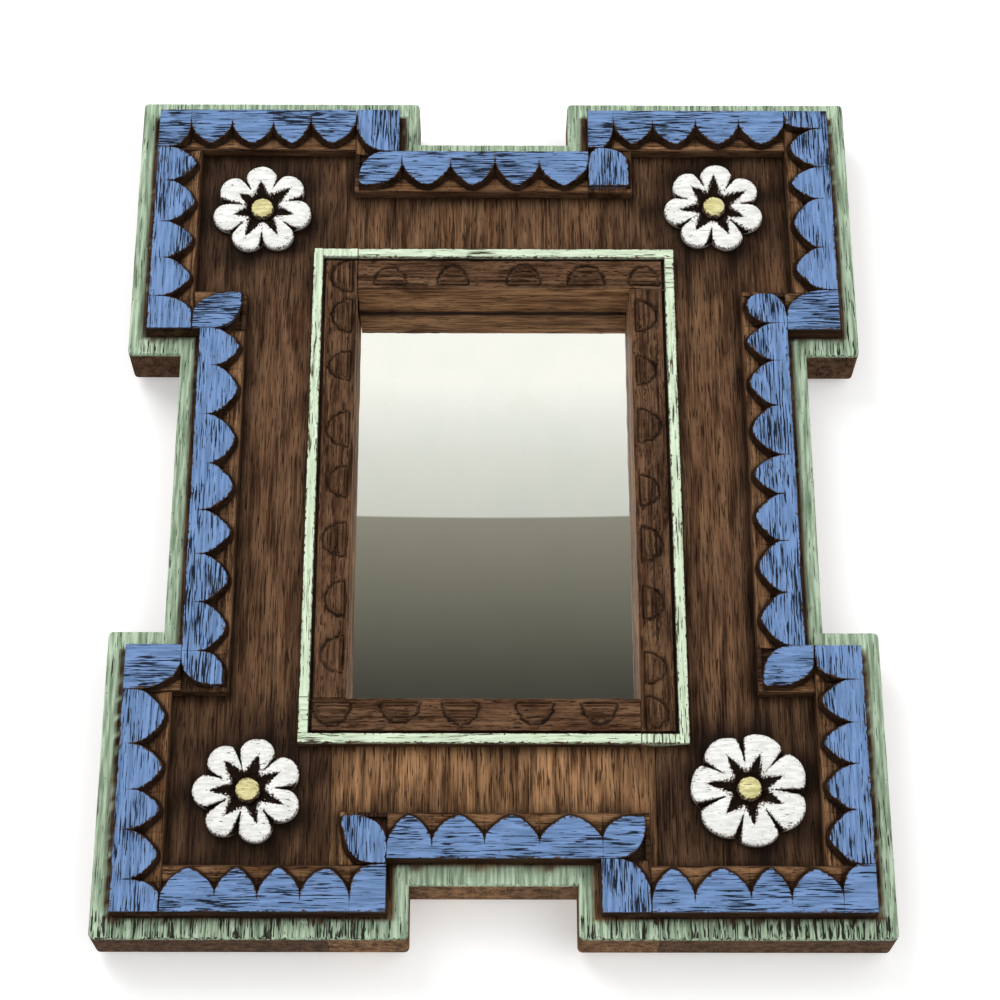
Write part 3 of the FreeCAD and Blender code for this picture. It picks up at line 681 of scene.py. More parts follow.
def strip_surface(length, leaf, tip_shares, seed):
    """Return (s, t, height) arrays and masks of a strip: rows are sections, columns run along the strip."""
    s, outer, inner, tips, insets = strip_outline(length, leaf, tip_shares, seed)
    bare = s < (LOBE_MARGIN - END_STEP / 2 if leaf else -1)
    steep = steepness(s, inner)
    top_t = outer + (inner - outer) * TOP_SHARES[:, None]
    outer_gap = (top_t - outer) / steepness(s, outer)
    gap = np.minimum((inner - top_t) / steep, np.where(outer > 0, outer_gap, outer_gap + TOP_ROUND / 2))
    if leaf:
        gap = np.minimum(gap, np.maximum(s - LOBE_MARGIN, 0))
    uneven = np.minimum(TOP_WAVE * ripple(s + 0 * top_t, top_t, TOP_WAVE_LENGTH, seed + 1) - TOP_WAVE, 0)
    top_h = np.where(bare, BASE_HEIGHT, STRIP_HEIGHT + uneven - edge_drop(gap, TOP_ROUND))
    foot_t = inner + np.where(bare, 0, np.minimum(WALL_RUN * steep, LONGEST_WALL))
    foot_t = np.maximum(np.minimum(foot_t, STRIP_WIDTH - LOBE_SPARE), np.minimum(inner, STRIP_WIDTH))
    wall_t = inner + (foot_t - inner) * WALL_SHARES[:, None]
    floor_end = np.maximum(STRIP_WIDTH - FLOOR_END, foot_t)
    floor_t = foot_t + (floor_end - foot_t) * FLOOR_SHARES[:, None]
    chipped = CHIP_DEPTH * (STRIP_WIDTH - floor_t) / (STRIP_WIDTH - TIP_INSET)
    chipped = chipped + FLOOR_WAVE * ripple(s + 0 * floor_t, floor_t, FLOOR_WAVE_LENGTH, seed + 2)
    floor_h = np.minimum(BASE_HEIGHT - np.where(bare, 0, chipped), BASE_HEIGHT)
    wall_h = top_h[-1] + (floor_h[0] - top_h[-1]) * WALL_SHARES[:, None]
    rim_t = floor_end + (STRIP_WIDTH - floor_end) * RIM_SHARES[:, None]
    rim_h = RIM_LEVELS[:, None] + 0 * s
    side_foot = BASE_HEIGHT - np.where(bare, 0, CHIP_DEPTH * SIDE_CHIP_SHARE)
    side_t = SIDE_SHARES[:, None] * outer
    side_h = SIDE_FOOT_SHARES[:, None] * side_foot + SIDE_RISE_SHARES[:, None] * (top_h[0] - side_foot)
    parts_t = (side_t, top_t, wall_t, floor_t, rim_t)
    t = np.vstack(parts_t)
    h = np.vstack([side_h, top_h, wall_h, floor_h, rim_h])
    zone = np.repeat(np.arange(len(parts_t)), [len(part) for part in parts_t])[:, None] + 0 * s.astype(int)
    from_wall = (t - foot_t) / steep
    return s + 0 * t, t, h, strip_masks(zone, gap, from_wall, bare, knife_cuts(s, t, tips, insets, seed))


def carve_strip(number, name, way, leaf, tip_shares):
    """Lay a strip's surface on the panel: s runs its way and t runs inwards, which is to the right of it."""
    first, last = panel_box(name)
    along = np.array(way, float)
    inward = np.array([along[1], -along[0]])
    low, high = first[[0, 2]], last[[0, 2]]
    corner = np.where(along + inward > 0, low, high)
    length = float(abs((high - low) @ along))
    s, t, h, masks = strip_surface(length, leaf, tip_shares, STRIP_SEED + STRIP_SEED_STEP * number)
    x = corner[0] + along[0] * s + inward[0] * t
    z = corner[1] + along[1] * s + inward[1] * t
    shift = np.array(STRIP_GRAIN_STEP) * number
    grain = np.column_stack([s.ravel() + shift[0], t.ravel() + shift[1], h.ravel()])
    points = frame_points(x, PANEL_FRONT + h, z)
    return build_piece(name + "_carved", points, tube_faces(*s.shape), masks, grain, border_finish,
                       name)


for number, (name, way, leaf, tip_shares) in enumerate(strips):
    carve_strip(number, name, way, leaf, tip_shares)

# %% [markdown]
# ## The panel boards
# Four planks with upright grain make the panel. Their faces are flat, but the edges are hand-rounded, a
# little wavy and worn, and the wood is darker beside the strips, the rosettes and the liner, by stain and
# painted shade. A grid whose lines crowd at the outline carries all that: cells outside the outline are left
# out, and walls join the front to the back.

# %% Panel outline
block_first = panel_box("border_top_left_block_side")[0]
waist_first = panel_box("border_left_middle")[0]
notch_last = panel_box("border_top_middle")[1]
return_last = panel_box("border_top_notch_left_return")[1]
LEDGE = block_first[0] + HALF_WIDTH
WAIST = LEDGE - waist_first[0]
BLOCK_Z = block_first[2] - LEDGE
NOTCH_FLOOR = notch_last[2] + LEDGE
WINDOW_HALF_HEIGHT = panel_box("top_board")[0][2]
NOTCH_HALF = -return_last[0] - LEDGE
CORNER_ROUND = 2.5
EDGE_ROUND = 1.3
JOINT_ROUND = 0.4


def stile_outline(side):
    """Corners of a stile, and for each edge that starts at one, whether it lies open to view."""
    corners = [(WINDOW_HALF_WIDTH, -HALF_HEIGHT), (HALF_WIDTH, -HALF_HEIGHT), (HALF_WIDTH, -BLOCK_Z),
               (WAIST, -BLOCK_Z), (WAIST, BLOCK_Z), (HALF_WIDTH, BLOCK_Z), (HALF_WIDTH, HALF_HEIGHT),
               (WINDOW_HALF_WIDTH, HALF_HEIGHT)]
    return np.array([(side * x, z) for x, z in corners]), np.array([1, 1, 1, 1, 1, 1, 1, 0], bool)


def end_outline(end):
    """Corners of a short board, and for each edge that starts at one, whether it lies open to view."""
    corners = [(-WINDOW_HALF_WIDTH, WINDOW_HALF_HEIGHT), (-WINDOW_HALF_WIDTH, HALF_HEIGHT),
               (-NOTCH_HALF, HALF_HEIGHT), (-NOTCH_HALF, NOTCH_FLOOR), (NOTCH_HALF, NOTCH_FLOOR),
               (NOTCH_HALF, HALF_HEIGHT), (WINDOW_HALF_WIDTH, HALF_HEIGHT),
               (WINDOW_HALF_WIDTH, WINDOW_HALF_HEIGHT)]
    return np.array([(x, end * z) for x, z in corners]), np.array([0, 1, 1, 1, 1, 1, 0, 0], bool)


print("waist", round(WAIST, 2), "block", round(BLOCK_Z, 2))
print("notch", round(NOTCH_HALF, 2), round(NOTCH_FLOOR, 2))

# %% [markdown]
# ### Where stain and painted shade gather
# Dirt and stain collect beside everything that stands on the panel, and shade is painted there too, so the
# distance to the nearest strip, petal and liner member sets how dark the wood is at each point.

# %% Distances on the panel
# Name, angle of the first petal, anticlockwise from the right, and how far hollows between petals are filled
rosettes = (("rosette_top_left", 93.0, 0.0), ("rosette_top_right", 136.0, 0.0),
            ("rosette_bottom_left", 78.0, 0.0), ("rosette_bottom_right", 124.0, 0.45))
PETALS = 7
PETAL_PACE = 2 * math.pi / PETALS
PETAL_SHARE = 0.33
OUTLINE_SAMPLES = 2000
PATCH_STAIN = 0.14
PATCH_LENGTH = 26.0
PATCH_SEED = 5
# Darkest share of stain and painted shade beside each kind of piece, and the distance over which it fades
FLOWER_STAIN_AND_SHADE, FLOWER_DARK_REACH = 0.8, 19.0
PETAL_STAIN_AND_SHADE, PETAL_DARK_REACH = 0.2, 4.0
STRIP_STAIN_AND_SHADE, STRIP_DARK_REACH = 0.72, 5.5
STRIP_FOOT_STAIN_AND_SHADE, STRIP_FOOT_REACH = 0.27, 1.8
LINER_STAIN_AND_SHADE, LINER_DARK_REACH = 0.8, 2.6
liner_names = ("liner_left", "liner_top", "liner_right", "liner_bottom")
strip_boxes = [panel_box(strip[0]) for strip in strips]
liner_boxes = [panel_box(name) for name in liner_names]


def segment_distance(x, z, start, end):
    """Distance from points to a straight edge: to its nearest point, found by a clamped projection."""
    run = end - start
    share = np.clip(((x - start[0]) * run[0] + (z - start[1]) * run[1]) / (run @ run), 0, 1)
    return np.hypot(x - start[0] - share * run[0], z - start[1] - share * run[1])


def outside_box(x, z, first, last, side_share=1.0):
    """Distance from points to a box seen from the front, zero inside it. The side share scales the X part."""
    across = side_share * np.maximum(np.maximum(first[0] - x, x - last[0]), 0)
    upright = np.maximum(np.maximum(first[2] - z, z - last[2]), 0)
    return np.hypot(across, upright)


def petal_angle(angle):
    """Angle from the middle of the nearest petal, where the first petal lies at zero."""
    return (angle + PETAL_PACE / 2) % PETAL_PACE - PETAL_PACE / 2


def petal_outline(local, radius):
    """Far side of a circle on a ring: ring cos(a) + sqrt(petal^2 - ring^2 sin(a)^2)."""
    petal = radius * PETAL_SHARE
    ring = radius - petal
    return ring * np.cos(local) + np.sqrt(np.maximum(petal ** 2 - (ring * np.sin(local)) ** 2, 0))


def rosette_circle(name, turn):
    """Return a rosette's middle and radius, found by fitting a rosette of radius 1 to its box."""
    first, last = panel_box(name)
    angle = np.linspace(0, 2 * math.pi, OUTLINE_SAMPLES)
    outline = petal_outline(petal_angle(angle - math.radians(turn)), 1.0)
    across, upright = outline * np.cos(angle), outline * np.sin(angle)
    radius = (last[0] - first[0]) / np.ptp(across)
    return np.array([last[0] - radius * across.max(), last[2] - radius * upright.max()]), radius


def strip_distance(x, z, side_share=1.0):
    """Distance from points on the panel to the nearest border strip."""
    return np.min([outside_box(x, z, *box, side_share) for box in strip_boxes], axis=0)


def flower_distance(x, z):
    """Distance from points on the panel, along the radius, to the petals of the nearest rosette."""
    distances = []
    for name, turn, _ in rosettes:
        middle, radius = rosette_circle(name, turn)
        angle = np.arctan2(z - middle[1], x - middle[0]) - math.radians(turn)
        outline = petal_outline(petal_angle(angle), radius)
        distances.append(np.hypot(x - middle[0], z - middle[1]) - outline)
    return np.maximum(np.min(distances, axis=0), 0)


def panel_stain_and_shade(x, z):
    """Share of dark stain and painted shade on the panel: it fades away from strips, rosettes and liner."""
    to_strip = strip_distance(x, z)
    to_liner = np.min([outside_box(x, z, *box) for box in liner_boxes], axis=0)
    to_flower = flower_distance(x, z)
    flower = FLOWER_STAIN_AND_SHADE * np.exp(-(to_flower / FLOWER_DARK_REACH) ** 2)
    flower = flower + PETAL_STAIN_AND_SHADE * np.exp(-to_flower / PETAL_DARK_REACH)
    strip = STRIP_STAIN_AND_SHADE * np.exp(-to_strip / STRIP_DARK_REACH)
    strip = strip + STRIP_FOOT_STAIN_AND_SHADE * np.exp(-to_strip / STRIP_FOOT_REACH)
    liner = LINER_STAIN_AND_SHADE * np.exp(-to_liner / LINER_DARK_REACH)
    patches = PATCH_STAIN * ripple(x, z, PATCH_LENGTH, PATCH_SEED)
    return np.clip(1 - (1 - flower) * (1 - strip) * (1 - liner) + patches, 0, 1)


for name, turn, _ in rosettes:
    middle, radius = rosette_circle(name, turn)
    print(name, "middle", middle.round(1), "radius", round(radius, 2))

# %% [markdown]
# ### From outline to board
# The front and back are sheets of the same grid, with every edge dropped by a small radius and the outer
# corners drawn into quarter discs. Walls join the two sheets along the rim of the cells that are kept.

# %% Board surface
GRID_STEP = 2.2
CROWDING = np.array([0.0, 0.18, 0.45, 0.85, 1.4, 2.1, 3.0])
WALL_LEVELS = np.array([0.06, 0.2, 0.4, 0.6, 0.8, 0.94])
PAINTED_MARGIN = 16.0
MARGIN_FADE = 2.0
BARE_SIDE_SHARE = 0.65
BARE_UNTIL, PAINTED_FROM = 1.9, 2.9
BARE_WAVER, BARE_WAVER_LENGTH = 0.5, 7.0
FRONT_WAVE, FRONT_WAVE_LENGTH = 0.12, 22.0
BACK_WAVE, BACK_WAVE_LENGTH = 0.05, 40.0
RIM_RUB_REACH = 1.1
EDGE_DIRT = 0.2
LEDGE_WEAR, NOTCH_WEAR = 1.0, -0.8
TONE_LEAST, TONE_MOST = 0.0, 1.1
TONE_MIDDLE = 0.85
TONE_WAVE = 0.3
TONE_WAVE_LENGTH = 34.0
BOARD_GRAIN_STEP = (470.0, 90.0)
JUST_PAST = 1.0001


def grid_lines(stops):
    """Lines through every stop, crowded on both sides of the stops and at most a step apart between them."""
    stops = np.unique(stops)
    crowd = np.unique(np.concatenate([stops + step for step in np.append(-CROWDING, CROWDING)]).round(4))
    crowd = crowd[(crowd >= stops[0]) & (crowd <= stops[-1])]
    parts = [np.linspace(a, b, int(np.ceil((b - a) / GRID_STEP)), endpoint=False)
             for a, b in zip(crowd[:-1], crowd[1:])]
    return np.append(np.concatenate(parts), crowd[-1])


def inside_outline(x, z, corners):
    """Even-odd test: count the outline's edges that a ray towards +X crosses."""
    inside = np.zeros(x.shape, bool)
    for (x1, z1), (x2, z2) in zip(corners, np.roll(corners, -1, axis=0)):
        if z1 != z2:
            crossing = x1 + (x2 - x1) * (z - z1) / (z2 - z1)
            inside ^= ((z1 > z) != (z2 > z)) & (x < crossing)
    return inside


def round_corner(x, z, corner, middle):
    """Pull the square at a corner into a quarter disc: (a sqrt(1 - b^2/2), b sqrt(1 - a^2/2))."""
    ways = np.sign(corner - middle)
    a = 1 - (corner[0] - x) * ways[0] / CORNER_ROUND
    b = 1 - (corner[1] - z) * ways[1] / CORNER_ROUND
    near = (a > 0) & (b > 0) & (a <= JUST_PAST) & (b <= JUST_PAST)
    new_x = corner[0] - ways[0] * CORNER_ROUND * (1 - a * np.sqrt(np.clip(1 - b * b / 2, 0, 1)))
    new_z = corner[1] - ways[1] * CORNER_ROUND * (1 - b * np.sqrt(np.clip(1 - a * a / 2, 0, 1)))
    return np.where(near, new_x, x), np.where(near, new_z, z)


def round_corners(x, z, corners):
    """Round the corners that stand out: those on the panel's sides and those of its ends by the notch."""
    block_middle = np.array([HALF_WIDTH + NOTCH_HALF, HALF_HEIGHT + BLOCK_Z]) / 2
    for corner in corners:
        on_side = np.isclose(abs(corner[0]), HALF_WIDTH)
        by_notch = np.isclose(abs(corner[1]), HALF_HEIGHT) and np.isclose(abs(corner[0]), NOTCH_HALF)
        if on_side or by_notch:
            x, z = round_corner(x, z, corner, np.sign(corner) * block_middle)
    return x, z


def used_points(cells):
    """Which points of the grid belong to a kept cell."""
    rows, columns = cells.shape
    used = np.zeros((rows + 1, columns + 1), bool)
    for up, across in ((0, 0), (0, 1), (1, 0), (1, 1)):
        used[up:up + rows, across:across + columns] |= cells
    return used


def wall_edges(cells):
    """Point pairs along the rim of the kept cells, each run with its cell on the left."""
    rows, columns = cells.shape
    padded = np.pad(cells, 1)
    number = np.arange((rows + 1) * (columns + 1)).reshape(rows + 1, columns + 1)
    low_left, low_right = number[:-1, :-1], number[:-1, 1:]
    high_left, high_right = number[1:, :-1], number[1:, 1:]
    sides = ((0, 1, low_left, low_right), (2, 1, high_right, high_left),
             (1, 0, high_left, low_left), (1, 2, low_right, high_right))
    pairs = []
    for up, across, first, second in sides:
        rim = cells & ~padded[up:up + rows, across:across + columns]
        pairs.append(np.column_stack([first[rim], second[rim]]))
    return np.concatenate(pairs)


def margin_paint(x, z, rim, seed):
    """Paint on the ledge: it fades at the margin's inner side and leaves a bare line beside the strips."""
    paint = 1 - smooth_step(PAINTED_MARGIN - MARGIN_FADE, PAINTED_MARGIN, rim)
    bare_line = strip_distance(x, z, BARE_SIDE_SHARE) + BARE_WAVER * ripple(x, z, BARE_WAVER_LENGTH, seed + 2)
    return paint * smooth_step(BARE_UNTIL, PAINTED_FROM, bare_line)


def front_mask(front, wall_size, wall_value=0.0):
    """A mask on the front sheet, with nothing on the back sheet and one value on the walls."""
    return np.concatenate([front.ravel(), np.zeros(front.size), np.full(wall_size, wall_value)])


def board_surface(corners, is_open, seed):
    """Return points, faces and masks of a board: a front sheet, a back sheet and the walls between them."""
    x_lines, z_lines = grid_lines(corners[:, 0]), grid_lines(corners[:, 1])
    x, z = np.meshgrid(x_lines, z_lines)
    centres = np.meshgrid((x_lines[1:] + x_lines[:-1]) / 2, (z_lines[1:] + z_lines[:-1]) / 2)
    cells = inside_outline(*centres, corners)
    gaps = np.array([segment_distance(x, z, a, b) for a, b in zip(corners, np.roll(corners, -1, axis=0))])
    radii = np.where(is_open, EDGE_ROUND, JOINT_ROUND)
    drop = np.max([edge_drop(gap, radius) for gap, radius in zip(gaps, radii)], axis=0)
    rim = gaps[is_open].min(axis=0)
    paint = margin_paint(x, z, rim, seed)
    x, z = round_corners(x, z, corners)
    front = PANEL_FRONT - drop + FRONT_WAVE * ripple(x, z, FRONT_WAVE_LENGTH, seed) - FRONT_WAVE
    back = drop + BACK_WAVE * ripple(x, z, BACK_WAVE_LENGTH, seed + 1) + BACK_WAVE
    quads = grid_quads(*x.shape)[cells.ravel()]
    pairs = wall_edges(cells)
    rim_points = np.unique(pairs)
    order = np.full(x.size, -1)
    order[rim_points] = np.arange(len(rim_points))
    front_rim, back_rim = front.ravel()[rim_points], back.ravel()[rim_points]
    levels = front_rim + (back_rim - front_rim) * WALL_LEVELS[:, None]
    wall_points = 2 * x.size + np.arange(levels.size).reshape(levels.shape)
    stack = np.vstack([rim_points, wall_points, rim_points + x.size])
    near, far = stack[:, order[pairs[:, 0]]], stack[:, order[pairs[:, 1]]]
    walls = np.stack([near[:-1], near[1:], far[1:], far[:-1]], axis=-1).reshape(-1, 4)
    faces = np.vstack([quads, quads[:, ::-1] + x.size, walls])
    flat_x, flat_z = x.ravel(), z.ravel()
    all_x = np.concatenate([flat_x, flat_x, np.tile(flat_x[rim_points], len(levels))])
    all_z = np.concatenate([flat_z, flat_z, np.tile(flat_z[rim_points], len(levels))])
    depth = np.concatenate([front.ravel(), back.ravel(), levels.ravel()])
    in_notch = np.where((z < 0) & (np.abs(x) < NOTCH_HALF), NOTCH_WEAR, 0.0)
    wear = np.where(z < LEDGE - HALF_HEIGHT, LEDGE_WEAR, in_notch)
    masks = {
        "paint": front_mask(paint, levels.size),
        "edge": front_mask(np.exp(-rim / RIM_RUB_REACH), levels.size),
        "stain_and_shade": front_mask(panel_stain_and_shade(x, z), levels.size, EDGE_DIRT),
        "wear": front_mask(wear, levels.size),
    }
    used = used_points(cells).ravel()
    keep = np.concatenate([used, used, np.ones(levels.size, bool)])
    renumber = np.cumsum(keep) - 1
    kept_masks = {name: values[keep] for name, values in masks.items()}
    return all_x[keep], depth[keep], all_z[keep], renumber[faces], kept_masks


def saw_board(name, corners, is_open, tone, seed):
    """Make one board of the panel, with its grain upright and its own warmth of wood."""
    x, depth, z, faces, masks = board_surface(corners, is_open, seed)
    warmth = TONE_MIDDLE + TONE_WAVE * ripple(x, z / 2, TONE_WAVE_LENGTH, seed + 4)
    masks["tone"] = tone * np.clip(warmth, TONE_LEAST, TONE_MOST)
    grain = np.column_stack([z + BOARD_GRAIN_STEP[0] * seed, x + BOARD_GRAIN_STEP[1] * seed, depth])
    return build_piece(name + "_sawn", frame_points(x, depth, z), faces.tolist(), masks, grain, panel_finish,
                       name)


saw_board("left_stile_board", *stile_outline(-1), tone=0.06, seed=3)
saw_board("right_stile_board", *stile_outline(1), tone=0.12, seed=5)
saw_board("top_board", *end_outline(1), tone=0.16, seed=7)
saw_board("bottom_board", *end_outline(-1), tone=0.9, seed=9)

# %% [markdown]
# ## The liner
# Four L-shaped members line the window and lap onto the panel. A section carried along a straight run gives
# the whole member. The section has a band, a dark groove and a mint fillet, and the band is carved with
# half-discs whose flat sides face the glass. The leg ends before the lap does, so the last columns fold it
# away.

# %% Liner section
LINER_WALL, LINER_BAND, LINER_GROOVE, LINER_FILLET, LINER_REAR = range(5)
left_liner_first, left_liner_last = liner_boxes[0]
SIGHT_HALF_WIDTH = -left_liner_last[0]
SIGHT_HALF_HEIGHT = liner_boxes[1][0][2]
LINER_FACE = left_liner_last[0] - left_liner_first[0]
LINER_BACK = left_liner_first[1]
FILLET_FRONT = left_liner_last[1]
BAND_RISE = 5.0
BAND_FRONT = PANEL_FRONT + BAND_RISE
LEG_CLEARANCE = 0.2
LEG_THICKNESS = WINDOW_HALF_WIDTH - SIGHT_HALF_WIDTH - LEG_CLEARANCE
FILLET_WIDTH = 4.6
GROOVE_WIDTH = 1.6
GROOVE_DEPTH = 1.8
WALL_ROWS = 7
BAND_ROWS = 30
FILLET_ROWS = 6
WALL_FOOT_STEPS = (0, 0.5, 1.2, 2.2)
WALL_ROWS_FROM, WALL_ROWS_TO = 5.0, 2.0
BAND_START, BAND_STOP = 0.9, 0.3
GROOVE_LIP = 0.4
FILLET_FLAT_START = 0.5
LAP_STEP = 1.0
# Rounded edges of the section: steps outwards and forwards from the edge that each is named for
BAND_EDGE_STEPS = ((0.05, -0.9), (0.35, -0.35))
GROOVE_BAND_STEPS = ((0.2, 0.2), (0.5, 0.0))
GROOVE_FILLET_STEPS = ((-0.4, 0.0), (-0.1, 0.3))
FILLET_INNER_STEPS = ((0.0, -0.6), (0.15, -0.2))
FILLET_OUTER_STEPS = ((-0.15, -0.2), (0.0, -0.7), (0.0, -2.5))


def edge_rows(u, depth, steps, zone):
    """Rows of a section at steps from one of its edges."""
    return [(u + outwards, depth + forwards, zone) for outwards, forwards in steps]


def liner_section():
    """Return the section round the member as (outwards, depth, zone): wall, band, groove, fillet, back."""
    fillet_inner = LINER_FACE - FILLET_WIDTH
    groove_inner = fillet_inner - GROOVE_WIDTH
    floor = BAND_FRONT - GROOVE_DEPTH
    foot = [(0, LINER_BACK + step, LINER_WALL) for step in WALL_FOOT_STEPS]
    rows = np.linspace(LINER_BACK + WALL_ROWS_FROM, BAND_FRONT - WALL_ROWS_TO, WALL_ROWS)
    wall = foot + [(0, depth, LINER_WALL) for depth in rows]
    wall += edge_rows(0, BAND_FRONT, BAND_EDGE_STEPS[:1], LINER_WALL)
    rows = np.linspace(BAND_START, groove_inner - BAND_STOP, BAND_ROWS)
    band = edge_rows(0, BAND_FRONT, BAND_EDGE_STEPS[1:], LINER_BAND)
    band += [(u, BAND_FRONT, LINER_BAND) for u in rows]
    groove = [(groove_inner, BAND_FRONT - GROOVE_LIP, LINER_GROOVE)]
    groove += edge_rows(groove_inner, floor, GROOVE_BAND_STEPS, LINER_GROOVE)
    groove += edge_rows(fillet_inner, floor, GROOVE_FILLET_STEPS, LINER_GROOVE)
    rows = np.linspace(fillet_inner + FILLET_FLAT_START, LINER_FACE - FILLET_FLAT_START, FILLET_ROWS)
    fillet = edge_rows(fillet_inner, FILLET_FRONT, FILLET_INNER_STEPS, LINER_FILLET)
    fillet += [(u, FILLET_FRONT, LINER_FILLET) for u in rows]
    fillet += edge_rows(LINER_FACE, FILLET_FRONT, FILLET_OUTER_STEPS[:2], LINER_FILLET)
    behind = edge_rows(LINER_FACE, FILLET_FRONT, FILLET_OUTER_STEPS[2:], LINER_REAR)
    behind += [(LINER_FACE, PANEL_FRONT + LAP_STEP, LINER_REAR), (LINER_FACE, PANEL_FRONT, LINER_REAR)]
    behind += [(LEG_THICKNESS, PANEL_FRONT, LINER_REAR), (LEG_THICKNESS, LINER_BACK, LINER_REAR)]
    return np.array(wall + band + groove + fillet + behind)


print("section points", len(liner_section()))
print("sight", round(2 * SIGHT_HALF_WIDTH, 1), "by", round(2 * SIGHT_HALF_HEIGHT, 1))

# %% [markdown]
# ### Pads, fillet and folded end
# The section is carried along each side of the window. The half-discs rise from the band, the mint fillet
# turns round the outer corner, and the sight wall leans a little, as a hand-cut one does.

# %% Liner surface
PAD_LENGTH = 16.0
PAD_WIDTH = 9.5
PAD_HEIGHT = 0.8
PAD_SETBACK = 2.6
PAD_RANGE = (0.88, 1.1)
PAD_WAVER, PAD_WAVER_LENGTH = 0.06, 4.0
PAD_EDGE_SHARE = 0.82
PAD_FLAT_RISE = 0.7
RIM_CUT_SHARE = 1.07
RIM_CUT_GAUGE = 0.085
RIM_CUT_START = 0.4
BASE_CUT_PLACE, BASE_CUT_GAUGE = 0.3, 0.45
CHISEL_PACE = 2.7
CHISEL_GAUGE = 0.4
CHISEL_DEPTH = 0.4
CHISEL_CUT_SHARE = 0.6
PAD_CUT_DEPTH = 0.8
BUTT_GAP = 0.2
RUN_STEP = 0.8
GROOVE_STEPS = (0.0, 0.2)
TURN_STEPS = (-0.2, 0.0, 0.3)
END_STEPS = (-0.3, -0.1)
TURN_ROUND = 0.4
BAND_WAVE, BAND_WAVE_LENGTH = 0.3, 6.0
FILLET_WAVE, FILLET_WAVE_LENGTH = 0.15, 14.0
SIGHT_WAVE, SIGHT_WAVE_LENGTH = 0.15, 16.0
FOLD_INSET = 0.4
GLASS_SHADOW_LINE, GLASS_SHADOW_REACH = 1.2, 0.8
GROOVE_STAIN_AND_SHADE = 0.9
BAND_STAIN = 0.05
BAND_PATCHES = 0.16
BAND_PATCH_LENGTH = 10.0
PAD_CUT_STAIN_AND_SHADE, REAR_STAIN_AND_SHADE = 0.9, 0.5
FILLET_RUB_REACH = 0.5
# Painted light: the sight walls are made lighter with the warmer wood, as if lit
SIGHT_WALL_LIGHT = 0.7
LINER_GRAIN_STEP = (300.0, 40.0)


def carved_pads(u, s, places, seed):
    """Half-disc relief: raised inside a half ellipse, cut down along its outline, with a few chisel lines."""
    draw = np.random.default_rng(seed)
    relief = np.zeros(np.broadcast(u, s).shape)
    cut = np.zeros(relief.shape)
    flat = u - PAD_SETBACK
    for place in places:
        stretch, lift = draw.uniform(*PAD_RANGE, 2)
        half = PAD_LENGTH / 2 * stretch
        spread = np.hypot((s - place) / half, flat / (PAD_WIDTH * lift))
        spread = spread + PAD_WAVER * ripple(s, u, PAD_WAVER_LENGTH, seed + 5)
        raised = smooth_step(1.0, PAD_EDGE_SHARE, spread) * smooth_step(0.0, PAD_FLAT_RISE, flat)
        rim = np.exp(-((spread - RIM_CUT_SHARE) / RIM_CUT_GAUGE) ** 2) * (flat > -RIM_CUT_START)
        base = np.exp(-((flat + BASE_CUT_PLACE) / BASE_CUT_GAUGE) ** 2) * (np.abs(s - place) < half)
        lines = np.exp(-((flat % CHISEL_PACE - CHISEL_PACE / 2) / CHISEL_GAUGE) ** 2) * raised
        relief += PAD_HEIGHT * raised * (1 - CHISEL_DEPTH * lines)
        cut = np.maximum(cut, np.maximum(rim, np.maximum(base, CHISEL_CUT_SHARE * lines)))
    return relief - PAD_CUT_DEPTH * cut, cut


def liner_stations(start, leg_end, groove_start, turn_start, end):
    """Places along a member, crowded where its fillet turns, and which of them lie past the leg's end."""
    edges = ((groove_start, GROOVE_STEPS), (turn_start, TURN_STEPS), (end, END_STEPS))
    steps = [edge + step for edge, edge_steps in edges for step in edge_steps]
    before = np.linspace(start, leg_end, int((leg_end - start) / RUN_STEP))
    after = np.linspace(leg_end, end, int((end - leg_end) / RUN_STEP))
    after = np.unique(np.append(after, steps).round(4))
    s = np.append(before, after)
    return s, np.arange(len(s)) >= len(before)


